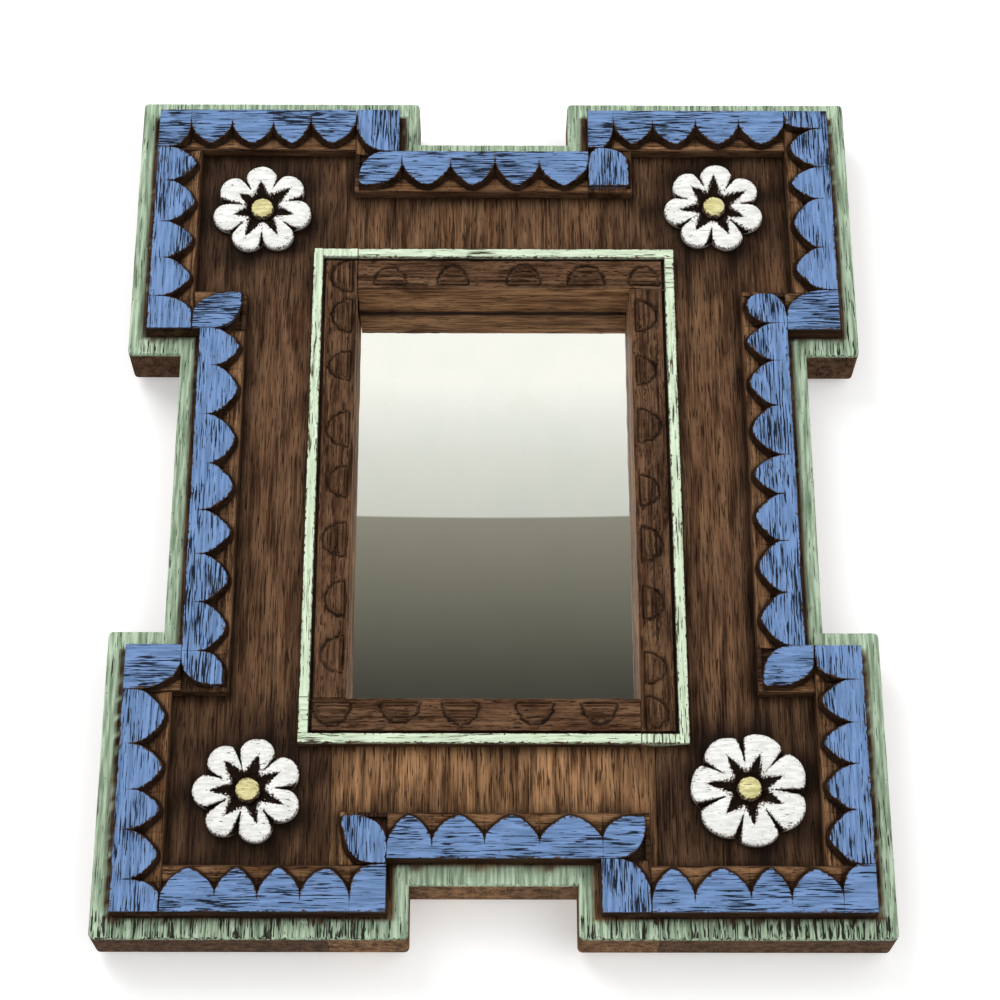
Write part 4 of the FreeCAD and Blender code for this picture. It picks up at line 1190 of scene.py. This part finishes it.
def carve_liner(name, along, outward, lean, pad_shares, seed):
    """Carry the section along one side: s runs from the butt end to the outer corner, u runs outwards.

    The sight wall leans by the given millimetres over its depth, outwards where that is above zero.
    """
    upright = along[0] == 0
    half = SIGHT_HALF_HEIGHT if upright else SIGHT_HALF_WIDTH
    reach = SIGHT_HALF_WIDTH if upright else SIGHT_HALF_HEIGHT
    end = half + LINER_FACE
    turn_start = end - FILLET_WIDTH
    groove_start = turn_start - GROOVE_WIDTH
    s, folded = liner_stations(-half + BUTT_GAP, half + LEG_THICKNESS, groove_start, turn_start, end)
    section = liner_section()
    u = section[:, 0][:, None] + 0 * s
    depth = section[:, 1][:, None] + 0 * s
    zone = section[:, 2].astype(int)[:, None] + 0 * s.astype(int)
    s = s + 0 * u
    corner_pad = half + (groove_start - half - GROOVE_WIDTH) / 2
    places = [(2 * share - 1) * half for share in pad_shares] + [corner_pad]
    relief, cut = carved_pads(u, s, places, seed)
    turned = np.isin(zone, (LINER_BAND, LINER_GROOVE)) & (s >= turn_start)
    end_groove = (zone == LINER_BAND) & (s > groove_start) & (s < turn_start)
    band = (zone == LINER_BAND) & ~turned & ~end_groove
    mint = (zone == LINER_FILLET) | turned
    turn_gap = np.minimum(s - turn_start, end - s)
    depth = np.where(end_groove, BAND_FRONT - GROOVE_DEPTH, depth)
    depth = np.where(turned, FILLET_FRONT - edge_drop(turn_gap, TURN_ROUND), depth)
    band_wave = BAND_WAVE * ripple(s, u, BAND_WAVE_LENGTH, seed)
    depth = depth + np.where(band, relief - BAND_WAVE + band_wave, 0)
    depth = depth + np.where(mint, FILLET_WAVE * ripple(s, u, FILLET_WAVE_LENGTH, seed + 1) - FILLET_WAVE, 0)
    deepness = (BAND_FRONT - depth) / (BAND_FRONT - LINER_BACK)
    sight_wave = SIGHT_WAVE * ripple(s, depth, SIGHT_WAVE_LENGTH, seed + 2)
    u = u + np.where(zone == LINER_WALL, lean * deepness + sight_wave + SIGHT_WAVE, 0)
    gone = folded & (depth < PANEL_FRONT)
    u = np.where(gone & (zone == LINER_WALL), FOLD_INSET, u)
    depth = np.where(gone, PANEL_FRONT, depth)
    x = outward[0] * (reach + u) + along[0] * s
    z = outward[1] * (reach + u) + along[1] * s
    # Painted shadow: a dark line on the sight wall where it meets the glass, fading away from it
    glass_edge_shadow = np.exp(-np.maximum(depth - LINER_BACK - GLASS_SHADOW_LINE, 0) / GLASS_SHADOW_REACH)
    patches = BAND_PATCHES * ripple(s, u, BAND_PATCH_LENGTH, seed + 3)
    band_stain_and_shade = np.clip(BAND_STAIN + patches + PAD_CUT_STAIN_AND_SHADE * cut, 0, 1)
    # Groove, pad cuts and the faces behind the fillet are darkened by stain and painted shade; the band's
    # patches are random stain
    darkened_zones = [mint, (zone == LINER_GROOVE) | end_groove, zone == LINER_WALL, zone == LINER_BAND,
               zone == LINER_REAR]
    stain_and_shade = np.select(darkened_zones, [0.0, GROOVE_STAIN_AND_SHADE, glass_edge_shadow, band_stain_and_shade, REAR_STAIN_AND_SHADE], 0.0)
    side_gap = np.minimum(np.abs(u - LINER_FACE + FILLET_WIDTH), np.abs(LINER_FACE - u))
    edge = np.where(mint, np.exp(-np.where(turned, turn_gap, side_gap) / FILLET_RUB_REACH), 0)
    masks = {"paint": mint.astype(float), "edge": edge, "stain_and_shade": stain_and_shade,
             "tone": SIGHT_WALL_LIGHT * (zone == LINER_WALL)}
    shift = np.array(LINER_GRAIN_STEP) * seed
    grain = np.column_stack([s.ravel() + shift[0], u.ravel() + shift[1], depth.ravel()])
    return build_piece(name + "_carved", frame_points(x, depth, z), tube_faces(*s.shape), masks, grain,
                       liner_finish, name)


carve_liner("liner_left", UP, LEFT, 0.8, (0.10, 0.23, 0.37, 0.51, 0.64, 0.80, 0.93), seed=21)
carve_liner("liner_top", RIGHT, UP, -1.2, (0.12, 0.35, 0.61, 0.84), seed=22)
carve_liner("liner_right", DOWN, RIGHT, -1.0, (0.07, 0.21, 0.35, 0.51, 0.64, 0.78, 0.93), seed=23)
carve_liner("liner_bottom", LEFT, DOWN, 0.0, (0.14, 0.36, 0.61, 0.82), seed=24)

# %% [markdown]
# ## The rosettes
# A rosette is carved from one round block: seven pillowed petals, a cut between each two, a star of short
# cuts round the middle and a button. In polar form it is a height over angle and radius, so rows of the grid
# run outwards from the button to the petals' outline, which is the far side of seven overlapping circles.

# %% Rosette cuts
LEAST_WIDTH = 0.001
BUTTON_RADIUS = 5.5
RAY_REACH = (0.56, 0.72)
RAY_HALF = (2.9, 4.2)
RAY_LEAN = (-0.08, 0.08)
RAY_TAPER = 0.75
RAY_FULL, RAY_RAGGED = 1.25, 0.45
RAY_RUB_REACH, RAY_RUB_OVERRUN = 1.0, 1.5
CLEFT_START = (0.42, 0.56)
CLEFT_HALF = (1.2, 2.4)
CLEFT_LEAN = (-0.04, 0.04)
CLEFT_TIP = 0.4
CLEFT_RAGGED = 0.2
CLEFT_RUB_REACH = 0.6


def star_rays(r, local, petal, radius, ragged, draw):
    """A ray along each petal: its half width is h (1 - share of reach)^n. Returns it and its worn edge."""
    end = radius * draw.uniform(*RAY_REACH, PETALS)[petal]
    half = draw.uniform(*RAY_HALF, PETALS)[petal]
    lean = draw.uniform(*RAY_LEAN, PETALS)[petal]
    away = r * np.abs(np.sin(local - lean))
    width = half * np.clip((end - r) / (end - BUTTON_RADIUS), 0, 1) ** RAY_TAPER + LEAST_WIDTH
    worn = np.exp(-np.maximum(away - width, 0) / RAY_RUB_REACH) * (r < end + RAY_RUB_OVERRUN)
    return np.clip(RAY_FULL - away / width + RAY_RAGGED * ragged, 0, 1), worn


def petal_clefts(r, angle, gap, radius, fill, ragged, draw):
    """A cut between each two petals, wider towards the outline. Returns it and its worn edge."""
    start = radius * draw.uniform(*CLEFT_START, PETALS)[gap]
    half = draw.uniform(*CLEFT_HALF, PETALS)[gap] * (1 - fill / 2)
    lean = draw.uniform(*CLEFT_LEAN, PETALS)[gap]
    away = r * np.abs(np.sin(angle % PETAL_PACE - PETAL_PACE / 2 - lean))
    width = CLEFT_TIP + half * smooth_step(0, 1, (r - start) / (radius - start))
    width = np.where(r > start, width, LEAST_WIDTH)
    worn = np.exp(-np.maximum(away - width, 0) / CLEFT_RUB_REACH)
    return np.clip(1 - away / width + CLEFT_RAGGED * ragged, 0, 1), worn


print("petals", PETALS, "button radius", BUTTON_RADIUS)

# %% [markdown]
# ### From the button to the foot
# Rows of the grid run outwards over the button and the petals, then down the rim's wall and back to the
# middle underneath. Each petal is a dome with a pillowed edge, less its ray, the clefts beside it and a ring
# round the button.

# %% Rosette surface
STEPS_PER_PETAL = 72
BUTTON_ROWS = BUTTON_RADIUS * np.array([0.0, 0.2, 0.4, 0.6, 0.78, 0.9, 0.97, 1.0])
BUTTON_HEIGHT = 6.4
BUTTON_CROWN = 1.2
BUTTON_ROUND = 0.5
BUTTON_WAVE, BUTTON_WAVE_LENGTH = 0.1, 4.0
BUTTON_RUB_POWER = 6
MOAT_WIDTH = 0.25
PETAL_ROWS = np.concatenate([[0.0, 0.02, 0.05], np.linspace(0.09, 0.9, 34), [0.93, 0.955, 0.975, 0.99, 1.0]])
FOOT_ROWS = np.array([0.25, 0.5, 0.75, 1.0, 1.0])
FOOT_PAINT = np.array([0.4, 0.1, 0, 0, 0])
# Stain and painted shade on the wall under the petals
FOOT_STAIN_AND_SHADE = 0.9
OUTLINE_WAVE = 0.012
OUTLINE_WAVE_PACE = 12
OUTLINE_WAVE_LENGTH = 9.0
RIM_HEIGHT = 3.6
CROWN_HEIGHT = 5.4
HEART_HEIGHT = 3.2
LEAST_HEIGHT = 1.2
CREST_SHARE = 0.66
RIM_DROP_SHARE = 0.6
PILLOW_DROP = 0.7
PILLOW_POWER = 4
PILLOW_RANGE = (0.4, 0.9)
CLEFT_DEPTH = 2.2
RAY_DEPTH = 1.3
RING_DEPTH = 1.0
RING_START = 1.8
RING_STOP = 3.4
RING_RAGGED = 0.5
RAGGED_LENGTH = 1.5
PETAL_WAVE, PETAL_WAVE_LENGTH = 0.12, 5.0
PETAL_ROUND, PETAL_ROUND_SHARE = 1.2, 0.9
BARE_RANGE = (0.05, 0.3)
PETAL_RIM_RUB, PETAL_RIM_REACH = 0.8, 0.8
PETAL_CUT_RUB = 0.6
PETAL_GRAIN = 3.0
ROSETTE_GRAIN_STEP = 77.0
ROSETTE_SEED = 60


def petal_dome(share):
    """Height of a petal over its share of the way out: two parabolas that meet at the crest."""
    heart = CROWN_HEIGHT - (CROWN_HEIGHT - HEART_HEIGHT) * ((CREST_SHARE - share) / CREST_SHARE) ** 2
    drop = (CROWN_HEIGHT - RIM_HEIGHT) * RIM_DROP_SHARE
    rim = CROWN_HEIGHT - drop * ((share - CREST_SHARE) / (1 - CREST_SHARE)) ** 2
    return np.where(share < CREST_SHARE, heart, rim)


def button_height(angle, seed):
    """Height of the button: a shallow crown with a rounded edge."""
    edge = edge_drop(BUTTON_RADIUS - BUTTON_ROWS, BUTTON_ROUND)
    crown = BUTTON_CROWN * (BUTTON_ROWS / BUTTON_RADIUS) ** 2 + edge
    across, upright = BUTTON_ROWS[:, None] * np.cos(angle), BUTTON_ROWS[:, None] * np.sin(angle)
    wave = BUTTON_WAVE * ripple(across, upright, BUTTON_WAVE_LENGTH, seed)
    return BUTTON_HEIGHT - crown[:, None] + wave - BUTTON_WAVE


def rosette_masks(bare, worn):
    """White paint on the petals and yellow on the button, with cuts and the wall below dark by stain and
    painted shade.
    """
    columns = np.zeros(bare.shape[1])
    button_worn = (BUTTON_ROWS / BUTTON_RADIUS)[:, None] ** BUTTON_RUB_POWER + columns
    button, foot = 0 * button_worn, 0 * FOOT_ROWS[:, None] + columns
    return {"paint": np.vstack([button + 1, 1 - bare, FOOT_PAINT[:, None] + columns]),
            "edge": np.vstack([button_worn, worn, foot]),
            "stain_and_shade": np.vstack([button, bare, foot + FOOT_STAIN_AND_SHADE]),
            "second": np.vstack([button + 1, 0 * bare, foot])}


def rosette_surface(radius, turn, fill, seed):
    """Return angle, radius, height and masks: button, carved petals, the rim's wall and the flat foot."""
    draw = np.random.default_rng(seed)
    angle = np.arange(PETALS * STEPS_PER_PETAL) * 2 * math.pi / (PETALS * STEPS_PER_PETAL)
    petal = np.round(angle / PETAL_PACE).astype(int) % PETALS
    gap = (angle / PETAL_PACE).astype(int) % PETALS
    local = petal_angle(angle)
    outline = petal_outline(local, radius)
    outline = outline + fill * (radius - outline)
    outline = outline * (1 + OUTLINE_WAVE * ripple(angle * OUTLINE_WAVE_PACE, 0, OUTLINE_WAVE_LENGTH, seed))
    moat = BUTTON_RADIUS + MOAT_WIDTH
    petal_r = moat + (outline - moat) * PETAL_ROWS[:, None]
    share = petal_r / outline
    across, upright = petal_r * np.cos(angle), petal_r * np.sin(angle)
    ragged = ripple(across, upright, RAGGED_LENGTH, seed + 3)
    ray, near_ray = star_rays(petal_r, local, petal, radius, ragged, draw)
    cleft, near_cleft = petal_clefts(petal_r, angle, gap, radius, fill, ragged, draw)
    from_button = petal_r + RING_RAGGED * ragged
    ring = 1 - smooth_step(BUTTON_RADIUS + RING_START, BUTTON_RADIUS + RING_STOP, from_button)
    pillow = PILLOW_DROP * (np.abs(local) / (PETAL_PACE / 2)) ** PILLOW_POWER
    pillow = pillow * smooth_step(*PILLOW_RANGE, share)
    height = petal_dome(share) - pillow - CLEFT_DEPTH * cleft - RAY_DEPTH * ray - RING_DEPTH * ring
    height = height + PETAL_WAVE * ripple(across, upright, PETAL_WAVE_LENGTH, seed + 1)
    height = height - edge_drop(outline - petal_r, PETAL_ROUND) * PETAL_ROUND_SHARE
    height = np.maximum(height, LEAST_HEIGHT)
    foot_h = height[-1] * (1 - FOOT_ROWS[:, None])
    foot_r = np.vstack([outline + 0 * FOOT_ROWS[:-1, None], 0 * outline])
    r = np.vstack([BUTTON_ROWS[:, None] + 0 * angle, petal_r, foot_r])
    h = np.vstack([button_height(angle, seed + 2), height, foot_h])
    bare = np.maximum(np.maximum(smooth_step(*BARE_RANGE, cleft), smooth_step(*BARE_RANGE, ray)), ring)
    near_rim = np.exp(-(outline - petal_r) / PETAL_RIM_REACH)
    worn = np.clip(PETAL_RIM_RUB * near_rim + PETAL_CUT_RUB * near_cleft + PETAL_CUT_RUB * near_ray, 0, 1)
    return angle + turn + 0 * r, r, h, rosette_masks(bare, worn)


def carve_rosette(name, turn, fill, seed):
    """Set a rosette on the panel at its solid's middle. Its grain is level, with short marks in the paint."""
    middle, radius = rosette_circle(name, turn)
    angle, r, h, masks = rosette_surface(radius, math.radians(turn), fill, seed)
    x = middle[0] + r * np.cos(angle)
    z = middle[1] + r * np.sin(angle)
    faces = grid_quads(*r.shape, wrap_columns=True).tolist()
    along = (x - middle[0]) * PETAL_GRAIN + ROSETTE_GRAIN_STEP * seed
    grain = np.column_stack([along.ravel(), (z - middle[1]).ravel(), h.ravel()])
    return build_piece(name + "_carved", frame_points(x, PANEL_FRONT + h, z), faces, masks, grain,
                       rosette_finish, name)


for number, (name, turn, fill) in enumerate(rosettes):
    carve_rosette(name, turn, fill, ROSETTE_SEED + number)

# %% [markdown]
# ## Glass, back and hanger
# The glass, the backing board, the dowels and the metal are plain shapes, so their solids are shown as they
# are and only get finishes. These read the solids' own coordinates, in millimetres, with the grain's axis
# first.

# %% Finishes of the plain pieces
UPRIGHT_GRAIN = (2, 0, 1)
LEVEL_GRAIN = (0, 2, 1)
PLY_TONES = (paint_colour(120, 88, 56), paint_colour(158, 122, 82), paint_colour(186, 152, 110))
BEECH_TONES = (paint_colour(150, 112, 74), paint_colour(186, 148, 104), paint_colour(208, 176, 134))
BRAD_TONES = (paint_colour(150, 148, 142), paint_colour(84, 76, 66))
ZINC_TONES = (paint_colour(196, 197, 192), paint_colour(128, 124, 112))
CLEAR_SILVER = paint_colour(252, 252, 250)
CLOUDED_SILVER = paint_colour(248, 249, 246)
SPECK_COLOUR = paint_colour(160, 158, 150)
SPECK_SHARE = 0.2
FILM_RANGE = (0.35, 0.75)
TARNISH_RANGE = (0.42, 0.7)
SCRATCH_SHARE = 0.4


def solid_grain(tree, order):
    """Object coordinates in millimetres with the axes put in the given order."""
    place = add(tree, "ShaderNodeTexCoord").outputs["Object"]
    parts = add(tree, "ShaderNodeSeparateXYZ", {0: place}).outputs
    turned = add(tree, "ShaderNodeCombineXYZ", {slot: parts[axis] for slot, axis in enumerate(order)})
    scale = (1 / MILLIMETRE,) * 3
    scaled = add(tree, "ShaderNodeVectorMath", {0: turned.outputs[0], 1: scale}, operation="MULTIPLY")
    return scaled.outputs[0]


def silvered_glass():
    """A mirror: bright metal behind glass, hardly dulled by a cloudy film of dust and a few specks."""
    finish, tree, shader = new_finish("silvered_glass")
    grain = solid_grain(tree, UPRIGHT_GRAIN)
    film = ramp_value(tree, streaks(tree, grain, run=30.0, gauge=20.0)["Tone"], *FILM_RANGE)
    specks = streaks(tree, grain, run=1.6, gauge=1.2, share=0.06)["Mask"]
    colour = mix_colour(tree, film, CLEAR_SILVER, CLOUDED_SILVER)
    colour = mix_colour(tree, math_node(tree, "MULTIPLY", specks, SPECK_SHARE), colour, SPECK_COLOUR)
    tree.links.new(colour, shader.inputs["Base Color"])
    tree.links.new(math_node(tree, "MULTIPLY_ADD", film, 0.004, 0.002), shader.inputs["Roughness"])
    shader.inputs["Metallic"].default_value = 1.0
    return finish


def bare_wood(name, tones, order, pores):
    """Unpainted wood in three tones, with its grain along the first axis of the order."""
    finish, tree, shader = new_finish(name)
    wood = timber(tree, solid_grain(tree, order), tones, pores)
    bump = add(tree, "ShaderNodeBump", {"Strength": 0.3, "Distance": 0.0002, "Height": wood["Relief"]})
    tree.links.new(wood["Color"], shader.inputs["Base Color"])
    tree.links.new(bump.outputs[0], shader.inputs["Normal"])
    shader.inputs["Roughness"].default_value = 0.7
    shader.inputs["Specular IOR Level"].default_value = 0.15
    return finish


def dulled_steel(name, tones):
    """Plated steel with cloudy tarnish and short scratches. Tarnish is rougher and less metallic."""
    finish, tree, shader = new_finish(name)
    bright, dull = tones
    grain = solid_grain(tree, UPRIGHT_GRAIN)
    cloud = ramp_value(tree, streaks(tree, grain, run=6.0, gauge=4.0)["Tone"], *TARNISH_RANGE)
    scratch = streaks(tree, grain, run=4.0, gauge=0.3, share=0.15)
    colour = mix_colour(tree, cloud, bright, dull)
    colour = mix_colour(tree, math_node(tree, "MULTIPLY", scratch["Mask"], SCRATCH_SHARE), colour, bright)
    bump = add(tree, "ShaderNodeBump", {"Strength": 0.15, "Distance": 0.0001, "Height": scratch["Tone"]})
    tree.links.new(colour, shader.inputs["Base Color"])
    tree.links.new(math_node(tree, "MULTIPLY_ADD", cloud, 0.25, 0.3), shader.inputs["Roughness"])
    tree.links.new(math_node(tree, "MULTIPLY_ADD", cloud, -0.5, 1.0), shader.inputs["Metallic"])
    tree.links.new(bump.outputs[0], shader.inputs["Normal"])
    return finish


def dress(finish, *nodes):
    """Give solids that are shown as they are a finish in place of their plain one."""
    for node in nodes:
        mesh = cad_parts[node].data
        mesh.materials.clear()
        mesh.materials.append(finish)
    print(finish.name, "on", ", ".join(nodes))


dress(silvered_glass(), "mirror_glass")
dress(bare_wood("thin_ply", PLY_TONES, LEVEL_GRAIN, pores=0.2), "backing_board")
dress(bare_wood("beech_dowel", BEECH_TONES, LEVEL_GRAIN, pores=0.15), "board_dowels")
dress(dulled_steel("brad_wire", BRAD_TONES), "backing_brads")
dress(dulled_steel("zinc_plate", ZINC_TONES), "hanger_strap", "hanger_ring", "hanger_screws")

# %% [markdown]
# ## Stage, light and camera
# The mirror hangs on a pale wall over a pale floor, in soft light from the front. The wall shows only to the
# camera and only from its front, so that it doesn't hide or darken the mirror's back. The glass needs
# something to show, so the surround is pale above and grey below, seen by the reflected rays alone.

# %% Wall and floor
WALL_DEPTH = 0.0049
FLOOR_Z = -1.35
STAGE_REACH = 4.0
STAGE_WHITE = (0.9, 0.9, 0.89, 1)
STAGE_GLOW = 0.3
WHITE = (1, 1, 1, 1)


def stage_sheet(name, corners, material):
    """A flat sheet for the stage, which isn't part of the mirror."""
    mesh = bpy.data.meshes.new(name)
    mesh.from_pydata(corners, [], [[0, 1, 2, 3]])
    mesh.materials.append(material)
    sheet = bpy.data.objects.new(name, mesh)
    bpy.context.scene.collection.objects.link(sheet)
    return sheet


def pale_stage_finish(name, one_sided):
    """A matt white that glows a little to the camera, so it comes out white and still takes a shadow."""
    finish, tree, shader = new_finish(name)
    shader.inputs["Base Color"].default_value = STAGE_WHITE
    shader.inputs["Roughness"].default_value = 0.9
    shader.inputs["Specular IOR Level"].default_value = 0.0
    shader.inputs["Emission Color"].default_value = WHITE
    path = tree.nodes.new("ShaderNodeLightPath")
    seen = path.outputs["Is Camera Ray"]
    tree.links.new(math_node(tree, "MULTIPLY", seen, STAGE_GLOW), shader.inputs["Emission Strength"])
    if one_sided:
        back = add(tree, "ShaderNodeNewGeometry").outputs["Backfacing"]
        shown = math_node(tree, "MULTIPLY", seen, math_node(tree, "SUBTRACT", 1.0, back))
        clear = tree.nodes.new("ShaderNodeBsdfTransparent")
        blend = add(tree, "ShaderNodeMixShader", {0: shown, 1: clear.outputs[0], 2: shader.outputs[0]})
        tree.links.new(blend.outputs[0], tree.nodes["Material Output"].inputs["Surface"])
    return finish


left, right = -STAGE_REACH, STAGE_REACH
wall_corners = [(left, WALL_DEPTH, FLOOR_Z), (right, WALL_DEPTH, FLOOR_Z),
                (right, WALL_DEPTH, STAGE_REACH), (left, WALL_DEPTH, STAGE_REACH)]
floor_corners = [(left, -STAGE_REACH, FLOOR_Z), (right, -STAGE_REACH, FLOOR_Z),
                 (right, STAGE_REACH, FLOOR_Z), (left, STAGE_REACH, FLOOR_Z)]
wall = stage_sheet("wall", wall_corners, pale_stage_finish("pale_wall", one_sided=True))
floor = stage_sheet("floor", floor_corners, pale_stage_finish("pale_floor", one_sided=False))
print("stage", wall.name, floor.name)

# %% [markdown]
# ### Light
# Two broad lamps light the front from the left and the right. The surround adds an even light. What the glass
# shows of it is two ramps, grey below and white above, with a sharp step between them.

# %% Light
SURROUND_LIGHT = (0.62, 0.62, 0.62, 1)
STEP_HEIGHT = 0.406
STEP_SOFTNESS = 0.0004
# Stops of the two ramps: the height of the way a ray goes, and a display colour
LOWER_STOPS = ((0.0, (132, 130, 120)), (0.30, (62, 61, 55)), (0.338, (70, 69, 62)), (0.352, (86, 85, 76)),
               (0.375, (112, 111, 99)), (0.41, (144, 142, 128)))
UPPER_STOPS = ((0.40, (200, 202, 194)), (0.428, (219, 221, 213)), (0.443, (235, 237, 230)),
               (0.457, (252, 252, 245)))
LIGHT_TARGET = (0, 0, MIDDLE_Z)
# Name, place and size in metres, and power in watts
lamps = (("key_light", (-0.9, -1.5, 0.9), 1.2, 18), ("fill_light", (1.1, -1.6, -0.2), 1.4, 8))


def stop_ramp(tree, value, stops):
    """A colour that runs through stops, each a value and a display colour."""
    ramp = add(tree, "ShaderNodeValToRGB", {0: value})
    ends = ramp.color_ramp.elements
    while len(ends) < len(stops):
        ends.new(0.5)
    for stop, (place, colour) in zip(ends, stops):
        stop.position = place
        stop.color = paint_colour(*colour)
    return ramp.outputs[0]


def make_world():
    """White to the camera, the two ramps to reflected rays and an even grey to all others."""
    world = bpy.data.worlds.new("pale_surround")
    bpy.context.scene.world = world
    world.use_nodes = True
    tree = world.node_tree
    tree.nodes.clear()
    path = tree.nodes.new("ShaderNodeLightPath")
    way = add(tree, "ShaderNodeTexCoord").outputs["Generated"]
    height = add(tree, "ShaderNodeSeparateXYZ", {0: way}).outputs[2]
    above = ramp_value(tree, height, STEP_HEIGHT - STEP_SOFTNESS, STEP_HEIGHT + STEP_SOFTNESS)
    lower, upper = stop_ramp(tree, height, LOWER_STOPS), stop_ramp(tree, height, UPPER_STOPS)
    shown = mix_colour(tree, above, lower, upper)
    glossy = mix_colour(tree, path.outputs["Is Glossy Ray"], SURROUND_LIGHT, shown)
    colour = mix_colour(tree, path.outputs["Is Camera Ray"], glossy, WHITE)
    lit = add(tree, "ShaderNodeBackground", {"Color": colour, "Strength": 1.0})
    output = tree.nodes.new("ShaderNodeOutputWorld")
    tree.links.new(lit.outputs[0], output.inputs["Surface"])
    return world


def soft_light(name, place, size, power):
    """A square area light that looks at the mirror's middle."""
    lamp = bpy.data.lights.new(name, "AREA")
    lamp.shape = "SQUARE"
    lamp.size = size
    lamp.energy = power
    light = bpy.data.objects.new(name, lamp)
    light.location = place
    light.rotation_euler = (Vector(LIGHT_TARGET) - Vector(place)).to_track_quat("-Z", "Y").to_euler()
    bpy.context.scene.collection.objects.link(light)
    return light


make_world()
print("lights", [soft_light(*lamp).name for lamp in lamps])

# %% [markdown]
# ### Camera
# The camera looks up at the mirror from below its middle. Its place, turn and lens were fitted to the corners
# of the panel and the window.

# %% Camera
CAMERA_PLACE = (-5.8, -1074.3, -480.4)
CAMERA_TURN = (113.635, -0.042, -0.199)
CAMERA_LENS = 86.54
CAMERA_SENSOR = 36.0
CAMERA_SHIFT = (0.0116, 0.0311)

camera_data = bpy.data.cameras.new("camera")
camera_data.lens = CAMERA_LENS
camera_data.sensor_width = CAMERA_SENSOR
camera_data.shift_x, camera_data.shift_y = CAMERA_SHIFT
camera = bpy.data.objects.new("camera", camera_data)
camera.location = frame_points(CAMERA_PLACE[0], -CAMERA_PLACE[1], CAMERA_PLACE[2])[0]
camera.rotation_euler = [math.radians(angle) for angle in CAMERA_TURN]
bpy.context.scene.collection.objects.link(camera)
bpy.context.scene.camera = camera
bpy.context.scene.view_settings.view_transform = "Standard"
print("camera", tuple(round(v, 3) for v in camera.location))
